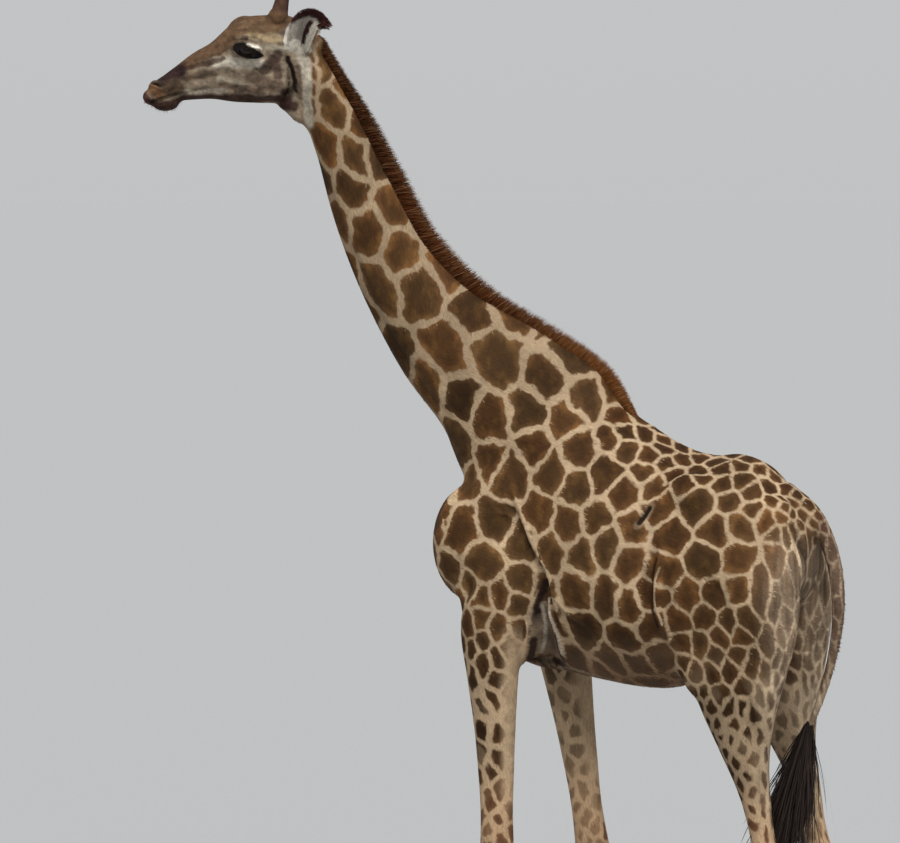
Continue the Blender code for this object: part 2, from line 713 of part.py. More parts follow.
def build_fittings(fitted, finishes):
    """Everything that grows from the flesh, each cut to it with a fine gap."""
    body_cut, head_cut = fitted
    for side in (LEFT, RIGHT):
        named = SIDE_NAMES[side]
        eye = ellipsoid(eye_centre(side), [EYE_RADIUS] * 3, ring=14)
        new_object(f"eye_{named}", [eye], finishes["eye"])
        horn = new_object(f"horn_{named}", [horn_shape(side)])
        ear = ear_object(side)
        for piece, finish in ((horn, "horn"), (ear, "hide")):
            boolean(piece, copy_of(head_cut))
            keep_largest(piece, finishes[finish])
    mane = new_object("mane", [loft(mane_stations(), NECK_DORSAL, ring=8, steps=2)])
    boolean(mane, copy_of(head_cut))
    boolean(mane, copy_of(body_cut))
    keep_largest(mane, finishes["mane"])
    tuft = new_object("tail_tuft", [loft(tuft_stations(), BACK, ring=10, steps=2)])
    boolean(tuft, copy_of(body_cut))
    keep_largest(tuft, finishes["tuft"])
    for foot, (side, coronet_y) in foot_places().items():
        for claw, where in ((-1, "right"), (1, "left")):
            shape = claw_shape(side, claw, coronet_y)
            new_object(f"hoof_{foot}_{where}", [shape], finishes["hoof"])
    for cutter in fitted:
        bpy.data.objects.remove(cutter, do_unlink=True)


def keep_largest(obj, finish):
    """Drops the crumbs that a cut left loose, and gives what stays its finish."""
    name = obj.name
    pieces = sorted(loose_pieces(obj), key=lambda piece: len(piece.data.vertices))
    kept = pieces.pop()
    kept.name = name
    kept.data.materials.append(finish)
    for crumb in pieces:
        bpy.data.objects.remove(crumb, do_unlink=True)


def settle():
    """Moves every solid so that the origin is on the floor under the middle of the box."""
    for obj in bpy.data.objects:
        for vertex in obj.data.vertices:
            vertex.co += ORIGIN_SHIFT
        obj.data.shade_smooth()
        obj.data.set_sharp_from_angle(angle=math.radians(50.0))


def main():
    clear_scene()
    finishes = {
        "hide": material("hide", (0.30, 0.20, 0.12), 0.85),
        "horn": material("horn_skin", (0.10, 0.06, 0.04), 0.85),
        "mane": material("mane_hair", (0.26, 0.09, 0.03), 0.90),
        "tuft": material("tail_hair", (0.015, 0.012, 0.012), 0.80),
        "hoof": material("hoof_horn", (0.07, 0.05, 0.04), 0.55),
        "eye": material("eye", (0.02, 0.012, 0.008), 0.10),
    }
    fitted = build_flesh(finishes["hide"])
    build_fittings(fitted, finishes)
    settle()


if __name__ == "__main__":
    main()
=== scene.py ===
"""Looks of a life-size giraffe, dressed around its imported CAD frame.

The flesh is grown again from lofts and swellings like those of the solids, a coat's
depth inside them, as one skin from muzzle to tail. Folds, lids and lips are then worked
into it, its markings are laid on as attributes, and tufts of hair stand on it wherever
hair shows against the form. Mane, tail tuft, lashes and ear hair are locks of their own.

Lengths are metres. Everything is made in the animal's own frame, which faces -Y with y
counted from the chest line, and is moved onto the CAD frame when it is finished.
"""

import logging
import math
from contextlib import contextmanager
from dataclasses import dataclass, replace
from enum import Enum
from typing import Callable, Iterator, NamedTuple, Optional, Sequence

import bmesh
import bpy
import numpy as np
from mathutils import Matrix, Vector, noise
from mathutils.kdtree import KDTree

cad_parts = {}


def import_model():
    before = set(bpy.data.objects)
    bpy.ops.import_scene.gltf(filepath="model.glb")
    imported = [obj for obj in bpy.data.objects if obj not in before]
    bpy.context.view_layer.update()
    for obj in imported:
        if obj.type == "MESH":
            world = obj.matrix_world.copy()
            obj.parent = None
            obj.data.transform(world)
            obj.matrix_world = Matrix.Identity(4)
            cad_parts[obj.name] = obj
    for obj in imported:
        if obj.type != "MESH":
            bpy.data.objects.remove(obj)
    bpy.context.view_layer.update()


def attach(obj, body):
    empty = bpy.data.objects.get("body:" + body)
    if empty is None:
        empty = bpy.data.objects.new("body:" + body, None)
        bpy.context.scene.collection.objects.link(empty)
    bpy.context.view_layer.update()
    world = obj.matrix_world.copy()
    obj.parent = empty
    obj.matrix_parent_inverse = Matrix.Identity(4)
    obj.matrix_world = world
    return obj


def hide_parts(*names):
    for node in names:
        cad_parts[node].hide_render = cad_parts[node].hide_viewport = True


log = logging.getLogger("giraffe")

ORIGIN_SHIFT = Vector((-0.136, -0.298, 0.0))
UP = Vector((0.0, 0.0, 1.0))
AHEAD = Vector((0.0, -1.0, 0.0))
BACK = Vector((0.0, 1.0, 0.0))

HEAD_TURN = math.radians(28.0)
HEAD_POLL = Vector((0.28, -0.458, 0.0))
HEAD_FORWARD = Vector((math.sin(HEAD_TURN), -math.cos(HEAD_TURN), 0.0))
HEAD_LEFT = Vector((math.cos(HEAD_TURN), math.sin(HEAD_TURN), 0.0))
HEAD_AXES = (HEAD_FORWARD, HEAD_LEFT, UP)

ELBOW_Z, KNEE_Z, FETLOCK_Z, CORONET_Z = 1.82, 0.96, 0.235, 0.098
LEG_OUT = 0.18
PASTERN_REACH = 0.038
CORONET_SLOPE = 0.22
HIND_CORONET_Y = 1.392
NAPE_SEAM, NAPE_SLOPE = Vector((0.262, -0.392, 3.815)), math.radians(31.0)
COLLAR_SEAM = Vector((0.1, 0.36, 2.56))
NECK_DORSAL = Vector((0.0, 0.86, 0.51)).normalized()

EYE_RADIUS = 0.027
EYE_PLACE = (0.227, 0.0945, 4.02)
HORN_LENGTH = 0.165

# The lowest skin that counts as the head's, where it also lies ahead of the nape.
HEAD_FLOOR = 3.78
# Where patch turns to line, as distances inside the patch's border.
BORDER = (-0.0045, 0.0055)
# A patch is lighter by RIM_TONE at its border, and TONE_DROP less so this deep inside.
PATCH_DEPTH = (0.002, 0.034)
RIM_TONE, TONE_DROP = 1.45, 0.65
# How hair lies on trunk and legs.
HAIR_BACK, HAIR_DOWN = (0.0, 0.93, -0.36), (0.0, 0.22, -0.97)

Shape = tuple[np.ndarray, list]
Socket = bpy.types.NodeSocket


class Side(Enum):
    """Which side of the animal, as the sign of x."""

    LEFT = 1
    RIGHT = -1

    @property
    def word(self) -> str:
        """The side's name as node names spell it."""
        return self.name.lower()


FORE_JOINTS = {Side.LEFT: (0.285, 0.3, 0.307), Side.RIGHT: (0.375, 0.53, 0.64)}
HIND_OFFSET = {Side.LEFT: 0.0, Side.RIGHT: 0.045}


class Zone(Enum):
    """The stretches of skin that are unwrapped and dressed on their own."""

    HEAD = "head"
    NECK = "neck"
    TRUNK = "trunk"
    LEGS = "legs"


class Station(NamedTuple):
    """One cross-section of a loft.

    Attributes:
        at: its place.
        side: how far it reaches to each side.
        over: how far it reaches over its place.
        under: how far it reaches under it.
        pear: how much fuller it is below than above.
    """

    at: tuple
    side: float
    over: float
    under: float
    pear: float = 0.0


def head_point(forward: float, left: float, height: float) -> Vector:
    """A place given along the head's own heading, as a vector of the animal's frame."""
    return HEAD_POLL + HEAD_FORWARD * forward + HEAD_LEFT * left + UP * height


def head_local(points: np.ndarray) -> np.ndarray:
    """Places of the animal's frame as (forward, left, height) along the head's heading."""
    return (points - np.array(HEAD_POLL)) @ np.array(HEAD_AXES).T


def smoothstep(values: np.ndarray, low: float, high: float) -> np.ndarray:
    """0 below low, 1 above high, with an even S between. low may be the greater."""
    t = np.clip((values - low) / (high - low), 0.0, 1.0)
    return t * t * (3.0 - 2.0 * t)


def unit(vectors: np.ndarray) -> np.ndarray:
    """Rows of vectors, each made one long."""
    return vectors / np.maximum(np.linalg.norm(vectors, axis=1), 1e-9)[:, None]


def blend(under: Sequence, over: Sequence, share: np.ndarray) -> np.ndarray:
    """Rows of numbers turned into others, by a share for each row."""
    return np.asarray(under) * (1 - share[:, None]) + np.asarray(over) * share[:, None]


def folded(points: np.ndarray, column: int = 0) -> np.ndarray:
    """Places with the right side folded onto the left; the column is the one counted to the left.

    Args:
        points: rows of numbers.
        column: the column that counts to the left.

    Returns:
        The places folded.
    """
    made = points.copy()
    made[:, column] = np.abs(made[:, column])
    return made


def noise_field(kind: Callable, points: np.ndarray, scale: float = 1.0, *settings: float) -> np.ndarray:
    """One of mathutils' noises at each place, its lumps 1 / scale wide."""
    return np.array([kind(Vector(p) * scale, *settings) for p in points])


def smooth_rows(rows: Sequence, steps: int) -> np.ndarray:
    """Rows of numbers, first three the place, with Hermite curves drawn through them.

    Args:
        rows: what the curves run through.
        steps: rows made from one of them to the next.

    Returns:
        The rows, closer together.
    """
    rows = np.array(rows, float)
    knots = np.concatenate([[0.0], np.cumsum(np.linalg.norm(np.diff(rows[:, :3], axis=0), axis=1))])
    slopes = np.gradient(rows, knots, axis=0)
    made = []
    for i in range(len(rows) - 1):
        span = knots[i + 1] - knots[i]
        for t in np.linspace(0.0, 1.0, steps, endpoint=False):
            made.append(
                (1 + 2 * t) * (1 - t) ** 2 * rows[i]
                + t * (1 - t) ** 2 * span * slopes[i]
                + t * t * (3 - 2 * t) * rows[i + 1]
                + t * t * (t - 1) * span * slopes[i + 1]
            )
    made.append(rows[-1])
    return np.array(made)


def ring_faces(rings: int, count: int) -> list:
    """The quads between rings of points that follow one another.

    Args:
        rings: how many rings.
        count: points in each.

    Returns:
        The faces, as numbers of points.
    """
    faces = []
    for r in range(rings - 1):
        for k in range(count):
            a, b = r * count + k, r * count + (k + 1) % count
            faces.append((a, b, b + count, a + count))
    return faces


def loft(
    stations: Sequence[Station],
    over: Vector,
    normal: Optional[tuple] = None,
    ring: int = 32,
    steps: int = 5,
    domes: int = 4,
) -> Shape:
    """A closed loft through the stations, rounded off at both ends.

    Args:
        stations: the cross-sections in order.
        over: the side that Station.over reaches to.
        normal: fixes the planes of the sections, which otherwise stand square to the path.
        ring: points round each section.
        steps: sections made from one station to the next.
        domes: rings of each rounded end.

    Returns:
        The points and faces of the loft.
    """
    rows = smooth_rows([(*s.at, s.side, s.over, s.under, s.pear) for s in stations], steps)
    tangents = unit(np.gradient(rows[:, :3], axis=0))
    planes = np.tile(np.array(normal, float), (len(rows), 1)) if normal else tangents
    turns = np.linspace(0.0, 2 * math.pi, ring, endpoint=False)
    across, rise = np.cos(turns), np.sin(turns)
    rings: list = []

    def add_ring(row: np.ndarray, plane: np.ndarray, along: np.ndarray, scale: float) -> None:
        """Adds one section, moved along the path and drawn in.

        Args:
            row: its place and reaches.
            plane: the normal of its plane.
            along: how it is moved.
            scale: how far it is drawn in.
        """
        upward = np.array(over, float) - plane * np.dot(over, plane)
        upward /= np.linalg.norm(upward)
        sideways = np.cross(upward, plane)
        wide = row[3] * across * (1 + row[6] * rise)
        tall = np.where(rise > 0, row[4], row[5]) * rise
        rings.append(row[:3] + along + scale * (np.outer(wide, sideways) + np.outer(tall, upward)))

    dome_angles = [math.radians(90.0 * k / domes) for k in range(domes - 1, 0, -1)]
    reaches = [0.6 * min(rows[0][3:6]), 0.6 * min(rows[-1][3:6])]
    for angle in dome_angles:
        add_ring(rows[0], planes[0], -tangents[0] * reaches[0] * math.sin(angle), math.cos(angle))
    for row, plane in zip(rows, planes):
        add_ring(row, plane, np.zeros(3), 1.0)
    for angle in reversed(dome_angles):
        add_ring(rows[-1], planes[-1], tangents[-1] * reaches[1] * math.sin(angle), math.cos(angle))
    points = np.concatenate(rings)
    tips = [rows[0][:3] - tangents[0] * reaches[0], rows[-1][:3] + tangents[-1] * reaches[1]]
    faces = ring_faces(len(rings), ring)
    base = (len(rings) - 1) * ring
    for k in range(ring):
        faces.append((len(points), (k + 1) % ring, k))
        faces.append((len(points) + 1, base + k, base + (k + 1) % ring))
    return np.concatenate([points, tips]), faces


def ellipsoid(centre: Sequence, radii: Sequence, axes: Optional[tuple] = None, ring: int = 32) -> Shape:
    """An ellipsoid, its axes the world's or three given vectors.

    Args:
        centre: its middle.
        radii: its three radii.
        axes: the directions of its radii, where not the world's.
        ring: points round it.

    Returns:
        Its points and faces.
    """
    turned = Matrix.Identity(3) if axes is None else Matrix(axes).transposed()
    shape = bmesh.new()
    bmesh.ops.create_uvsphere(shape, u_segments=ring, v_segments=ring // 2, radius=1.0)
    points = [Vector(centre) + turned @ Vector(v.co * Vector(radii)) for v in shape.verts]
    faces = [tuple(v.index for v in face.verts) for face in shape.faces]
    shape.free()
    return np.array(points), faces


@contextmanager
def editing(mesh: bpy.types.Mesh) -> Iterator[bmesh.types.BMesh]:
    """A mesh opened as a BMesh, and written back when the block ends.

    Args:
        mesh: the mesh.

    Yields:
        The mesh's BMesh.
    """
    shape = bmesh.new()
    shape.from_mesh(mesh)
    yield shape
    shape.to_mesh(mesh)
    shape.free()


def new_object(name: str, shapes: Sequence[Shape]) -> bpy.types.Object:
    """One object holding every shape given, with its faces turned outwards.

    Args:
        name: its name.
        shapes: points and faces of each shape.

    Returns:
        The object, in the scene.
    """
    points: list = []
    faces: list = []
    for shape_points, shape_faces in shapes:
        start = len(points)
        points.extend(map(tuple, shape_points))
        faces.extend(tuple(start + i for i in face) for face in shape_faces)
    mesh = bpy.data.meshes.new(name)
    mesh.from_pydata(points, [], faces)
    with editing(mesh) as turned:
        bmesh.ops.recalc_face_normals(turned, faces=turned.faces)
    made = bpy.data.objects.new(name, mesh)
    bpy.context.scene.collection.objects.link(made)
    return made


def rows_of(items: Sequence, name: str) -> np.ndarray:
    """One vector for each of a mesh's items, read by the name it has there.

    Args:
        items: a mesh's vertices or their normals.
        name: what is read from each.

    Returns:
        The vectors, in rows.
    """
    flat = np.empty(len(items) * 3)
    items.foreach_get(name, flat)
    return flat.reshape(-1, 3)


def points_of(obj: bpy.types.Object) -> np.ndarray:
    """The places of an object's vertices."""
    return rows_of(obj.data.vertices, "co")


def normals_of(obj: bpy.types.Object) -> np.ndarray:
    """The normals of an object's vertices."""
    return rows_of(obj.data.vertex_normals, "vector")


def set_points(obj: bpy.types.Object, points: np.ndarray) -> None:
    """Moves an object's vertices to the places given."""
    obj.data.vertices.foreach_set("co", points.ravel())
    obj.data.update()


def relax(obj: bpy.types.Object, rounds: int, share: Optional[np.ndarray] = None) -> None:
    """Smooths a mesh without shrinking it, by steps that pull in and push out in turn.

    Args:
        obj: the mesh object.
        rounds: how many pairs of steps.
        share: how far each vertex takes part, from 0 to 1.
    """
    points = points_of(obj)
    edges = np.empty(len(obj.data.edges) * 2, np.int64)
    obj.data.edges.foreach_get("vertices", edges)
    ends = np.concatenate([edges.reshape(-1, 2), edges.reshape(-1, 2)[:, ::-1]])
    counts = np.maximum(np.bincount(ends[:, 0], minlength=len(points)), 1)[:, None]
    weight_of = 1.0 if share is None else share[:, None]
    for _ in range(rounds):
        for weight in (0.55, -0.5):
            summed = [np.bincount(ends[:, 0], column[ends[:, 1]], len(points)) for column in points.T]
            points = points + weight * weight_of * (np.stack(summed, 1) / counts - points)
    set_points(obj, points)


def baked(obj: bpy.types.Object) -> bpy.types.Object:
    """The object with its modifiers turned into its mesh.

    Args:
        obj: an object with modifiers.

    Returns:
        The same object.
    """
    bpy.context.view_layer.update()
    evaluated = obj.evaluated_get(bpy.context.evaluated_depsgraph_get())
    mesh = bpy.data.meshes.new_from_object(evaluated)
    obj.modifiers.clear()
    obj.data = mesh
    return obj


def displaced(obj: bpy.types.Object, by: float) -> None:
    """Moves a surface along its own normals."""
    set_points(obj, points_of(obj) + by * normals_of(obj))


def remeshed(obj: bpy.types.Object, voxel: float) -> None:
    """One closed skin around everything that the object holds.

    Args:
        obj: the mesh object.
        voxel: how fine the skin is.
    """
    step = obj.modifiers.new("join", "REMESH")
    step.mode = "VOXEL"
    step.voxel_size = voxel
    baked(obj)


def joined(first: bpy.types.Object, second: bpy.types.Object) -> bpy.types.Object:
    """Two objects as one mesh, still loose from each other.

    Args:
        first: the one that is kept.
        second: the one that goes into it.

    Returns:
        The first.
    """
    with bpy.context.temp_override(active_object=first, selected_editable_objects=[first, second]):
        bpy.ops.object.join()
    return first


@dataclass(frozen=True)
class Growth:
    """How finely a skin is grown, and how softly its swellings run together.

    Attributes:
        voxel: the grain that it is remeshed at.
        fillet: how far it is swollen and drawn in again, to fill its hollows.
        inset: how far it is drawn in at the end, to leave room for the coat.
        rounds: how often it is evened out.
    """

    voxel: float
    fillet: float
    inset: float
    rounds: int = 10

    def grow(self, name: str, shapes: list, slender: list) -> bpy.types.Object:
        """One closed skin around the shapes, drawn in by the coat's depth.

        Args:
            name: the object's name.
            shapes: what is swollen, joined and drawn in again, so that hollows turn soft.
            slender: thin shapes, which join afterwards as they are.

        Returns:
            The skin.
        """
        obj = new_object(name, shapes)
        displaced(obj, self.fillet)
        remeshed(obj, self.voxel)
        relax(obj, self.rounds)
        displaced(obj, -self.fillet - self.inset)
        if slender:
            obj = joined(obj, new_object("slender", slender))
        remeshed(obj, self.voxel)
        relax(obj, self.rounds)
        return obj


@dataclass(frozen=True)
class Anatomy:
    """The lofts and swellings of the flesh, in the animal's own frame.

    Attributes:
        neck: its stations, from inside the shoulders to inside the skull.
        barrel: rows of y, top, bottom, half width and pear of barrel, croup and brisket.
        blade: the left shoulder blade's stations.
        upper_arm: places and radii of the left shoulder's swellings.
        foreleg_rows: rows of z, half width, reach ahead and reach back.
        hind_rows: rows of z, front edge, rear edge, half width and distance out.
        haunch: places and radii of the left hind leg's swellings.
        dock: the tail's stations.
        skull: rows of forward, top, bottom, half width and pear along the head.
        lumps: places along the head and radii of its swellings, and whether they are paired.
    """

    neck: tuple = (
        Station((0.0, 0.53, 2.43), 0.215, 0.33, 0.4, 0.0),
        Station((0.01, 0.345, 2.63), 0.19, 0.352, 0.352, -0.1),
        Station((0.04, 0.228, 2.765), 0.158, 0.293, 0.295, -0.15),
        Station((0.09, 0.025, 2.951), 0.122, 0.229, 0.229, -0.16),
        Station((0.15, -0.159, 3.214), 0.1, 0.169, 0.169, -0.14),
        Station((0.2, -0.264, 3.476), 0.088, 0.143, 0.145, -0.12),
        Station((0.245, -0.352, 3.727), 0.078, 0.113, 0.113, -0.06),
        Station((0.272, -0.415, 3.875), 0.076, 0.098, 0.102, 0.0),
        Station((0.3, -0.49, 3.985), 0.074, 0.09, 0.092, 0.0),
    )
    barrel: tuple = (
        (0.16, 2.42, 1.88, 0.165, 0.05),
        (0.26, 2.62, 1.755, 0.205, 0.1),
        (0.38, 2.72, 1.705, 0.235, 0.1),
        (0.52, 2.765, 1.69, 0.27, 0.02),
        (0.68, 2.72, 1.67, 0.305, -0.06),
        (0.84, 2.63, 1.655, 0.325, -0.08),
        (0.98, 2.555, 1.665, 0.322, -0.06),
        (1.1, 2.525, 1.715, 0.3, 0.0),
        (1.22, 2.53, 1.8, 0.275, 0.06),
        (1.32, 2.49, 1.89, 0.238, 0.08),
        (1.4, 2.405, 1.98, 0.175, 0.05),
    )
    blade: tuple = (
        Station((0.06, 0.5, 2.66), 0.07, 0.11, 0.11),
        Station((0.12, 0.38, 2.48), 0.085, 0.13, 0.13),
        Station((0.165, 0.25, 2.28), 0.09, 0.13, 0.14),
        Station((0.185, 0.18, 2.14), 0.088, 0.12, 0.13),
    )
    upper_arm: tuple = (
        ((0.14, 0.172, 2.175), (0.125, 0.165, 0.225)),
        ((0.17, 0.32, 2.03), (0.1, 0.16, 0.27)),
        ((0.055, 0.245, 1.99), (0.115, 0.155, 0.22)),
    )
    foreleg_rows: tuple = (
        (1.96, 0.075, 0.135, 0.15),
        (1.82, 0.08, 0.132, 0.128),
        (1.68, 0.074, 0.11, 0.105),
        (1.5, 0.062, 0.087, 0.086),
        (1.34, 0.056, 0.077, 0.076),
        (1.16, 0.053, 0.068, 0.066),
        (1.05, 0.06, 0.071, 0.067),
        (0.96, 0.065, 0.077, 0.068),
        (0.87, 0.056, 0.06, 0.062),
        (0.74, 0.042, 0.045, 0.049),
        (0.48, 0.037, 0.04, 0.044),
        (0.33, 0.042, 0.046, 0.052),
        (0.235, 0.052, 0.054, 0.062),
        (0.165, 0.056, 0.058, 0.052),
        (0.1, 0.078, 0.082, 0.072),
        (0.06, 0.078, 0.082, 0.072),
    )
    hind_rows: tuple = (
        (2.36, 1.12, 1.45, 0.09, 0.105),
        (2.2, 1.06, 1.49, 0.112, 0.135),
        (2.05, 1.035, 1.505, 0.122, 0.15),
        (1.9, 1.045, 1.5, 0.12, 0.16),
        (1.76, 1.07, 1.465, 0.108, 0.168),
        (1.62, 1.125, 1.425, 0.09, 0.174),
        (1.48, 1.2, 1.402, 0.072, 0.178),
        (1.3, 1.285, 1.41, 0.056, 0.18),
        (1.15, 1.325, 1.432, 0.05, 0.18),
        (1.05, 1.343, 1.465, 0.054, 0.18),
        (0.97, 1.355, 1.49, 0.058, 0.18),
        (0.88, 1.365, 1.47, 0.05, 0.18),
        (0.74, 1.378, 1.46, 0.04, 0.18),
        (0.48, 1.388, 1.464, 0.036, 0.18),
        (0.33, 1.384, 1.478, 0.042, 0.18),
        (0.235, 1.376, 1.488, 0.052, 0.18),
        (0.165, 1.35, 1.462, 0.056, 0.18),
        (0.1, 1.315, 1.47, 0.078, 0.18),
        (0.06, 1.315, 1.47, 0.078, 0.18),
    )
    haunch: tuple = (
        ((0.16, 1.09, 2.39), (0.1, 0.12, 0.08)),
        ((0.19, 1.14, 1.8), (0.075, 0.095, 0.15)),
        ((0.085, 1.43, 2.18), (0.07, 0.075, 0.17)),
    )
    dock: tuple = (
        Station((0.0, 1.375, 2.405), 0.053, 0.038, 0.048),
        Station((0.0, 1.485, 2.33), 0.043, 0.033, 0.037),
        Station((0.0, 1.56, 2.195), 0.031, 0.026, 0.027),
        Station((0.0, 1.59, 2.0), 0.025, 0.021, 0.021),
        Station((0.0, 1.57, 1.82), 0.02, 0.017, 0.017),
        Station((0.0, 1.525, 1.66), 0.017, 0.015, 0.015),
        Station((0.004, 1.485, 1.555), 0.015, 0.014, 0.014),
    )
    skull: tuple = (
        (-0.035, 4.085, 3.965, 0.055, 0.0),
        (0.01, 4.128, 3.905, 0.072, 0.05),
        (0.06, 4.154, 3.852, 0.08, 0.15),
        (0.111, 4.164, 3.826, 0.083, 0.22),
        (0.162, 4.16, 3.824, 0.086, 0.25),
        (0.22, 4.156, 3.826, 0.086, 0.25),
        (0.262, 4.147, 3.828, 0.082, 0.22),
        (0.305, 4.114, 3.832, 0.075, 0.15),
        (0.366, 4.058, 3.84, 0.064, 0.08),
        (0.43, 4.02, 3.838, 0.057, 0.05),
        (0.494, 3.972, 3.832, 0.053, 0.03),
        (0.545, 3.934, 3.828, 0.054, 0.0),
        (0.585, 3.906, 3.824, 0.05, 0.0),
        (0.608, 3.88, 3.822, 0.04, 0.0),
    )
    lumps: tuple = (
        ((0.235, 0.0, 4.075), (0.08, 0.056, 0.083), False),
        ((0.59, 0.0, 3.85), (0.038, 0.046, 0.034), False),
        ((0.54, 0.0, 3.83), (0.055, 0.04, 0.036), False),
        ((0.224, 0.074, 4.022), (0.064, 0.04, 0.046), True),
        ((0.212, 0.063, 4.058), (0.072, 0.042, 0.036), True),
        ((0.155, 0.04, 3.942), (0.112, 0.038, 0.102), True),
        ((0.56, 0.026, 3.886), (0.045, 0.026, 0.03), True),
        ((0.112, 0.046, 4.145), (0.04, 0.03, 0.045), True),
        ((0.05, 0.062, 4.045), (0.032, 0.032, 0.036), True),
    )

    @staticmethod
    def swellings(side: Side, rows: tuple) -> list[Shape]:
        """Swellings given for the left side, on the side asked for."""
        return [ellipsoid((side.value * x, y, z), radii) for (x, y, z), radii in rows]

    def throat(self) -> Shape:
        """The fold of loose skin that joins the angle of the jaw to the neck.

        Returns:
            Its swelling.
        """
        along = (HEAD_FORWARD * 0.7 + UP * 0.72).normalized()
        axes = (along, HEAD_LEFT, along.cross(HEAD_LEFT))
        return ellipsoid(head_point(0.052, 0.0, 3.8), (0.075, 0.036, 0.03), axes)

    def trunk(self) -> list[Shape]:
        """Barrel, croup and brisket, as sections square to the spine.

        Returns:
            Its loft.
        """
        stations = []
        for y, top, bottom, half, pear in self.barrel:
            level = bottom + 0.46 * (top - bottom)
            stations.append(Station((0.0, y, level), half, top - level, level - bottom, pear))
        return [loft(stations, UP, normal=tuple(BACK), ring=48)]

    def shoulder(self, side: Side) -> list[Shape]:
        """Shoulder blade, point of the shoulder, upper arm and its muscle."""
        blade = [s._replace(at=(side.value * s.at[0], *s.at[1:])) for s in self.blade]
        return [loft(blade, AHEAD), *self.swellings(side, self.upper_arm)]

    def foreleg_y(self, side: Side, z: float) -> float:
        """How far behind the chest line a foreleg stands at a height.

        Args:
            side: which leg's.
            z: the height.

        Returns:
            The place's y.
        """
        heights = (FETLOCK_Z, KNEE_Z, ELBOW_Z)
        y = float(np.interp(z, heights, FORE_JOINTS[side][::-1]))
        return y - PASTERN_REACH * min(1.0, max(0.0, (FETLOCK_Z - z) / (FETLOCK_Z - CORONET_Z)))

    def foreleg(self, side: Side) -> list[Shape]:
        """One foreleg from inside the shoulder down to the coronet.

        Args:
            side: which one.

        Returns:
            Its loft.
        """
        stations = []
        for z, half, ahead, behind in self.foreleg_rows:
            out = LEG_OUT + 0.022 * min(1.0, max(0.0, (z - 1.2) / 0.6))
            at = (side.value * out, self.foreleg_y(side, z), z)
            stations.append(Station(at, half, ahead, behind))
        return [loft(stations, AHEAD, normal=(0, 0, 1))]

    def hind_leg(self, side: Side) -> list[Shape]:
        """One hind leg: thigh, gaskin, hock, cannon and pastern.

        Args:
            side: which one.

        Returns:
            Its loft and swellings.
        """
        stations = []
        for z, front, rear, half, out in self.hind_rows:
            middle = (front + rear) / 2 + HIND_OFFSET[side] * min(1.0, max(0.0, (1.9 - z) / 0.6))
            reach = (rear - front) / 2
            stations.append(Station((side.value * out, middle, z), half, reach, reach))
        return [loft(stations, AHEAD, normal=(0, 0, 1)), *self.swellings(side, self.haunch)]

    def tail(self) -> Shape:
        """The dock, over the croup and down between the buttocks."""
        return loft(self.dock, BACK + UP, ring=20)

    def head(self) -> list[Shape]:
        """The skull and jaws, as upright sections along the head, with their swellings.

        Returns:
            Lofts and swellings.
        """
        stations = []
        for forward, top, bottom, half, pear in self.skull:
            level = (top + bottom) / 2
            at = tuple(head_point(forward, 0.0, level))
            stations.append(Station(at, half, top - level, level - bottom, pear))
        shapes = [loft(stations, UP, normal=tuple(-HEAD_FORWARD), ring=48),
            loft(self.neck[5:], NECK_DORSAL), self.throat()]
        for (forward, left, height), radii, paired in self.lumps:
            for sign in (1, -1) if paired else (1,):
                shapes.append(ellipsoid(head_point(forward, sign * left, height), radii, HEAD_AXES))
        return shapes

    def body(self) -> list[Shape]:
        """Everything behind the head but the tail.

        Returns:
            Lofts and swellings.
        """
        shapes = self.trunk() + [loft(self.neck, NECK_DORSAL, ring=40), self.throat()]
        for side in Side:
            shapes += self.shoulder(side) + self.foreleg(side) + self.hind_leg(side)
        return shapes

    def feet(self) -> dict[str, tuple[Side, float]]:
        """The side and the coronet's y of each of the four feet.

        Returns:
            Side and y, by the foot's name.
        """
        places = {}
        for side in Side:
            places[f"front_{side.word}"] = (side, FORE_JOINTS[side][2] - PASTERN_REACH)
            places[f"hind_{side.word}"] = (side, HIND_CORONET_Y + HIND_OFFSET[side])
        return places


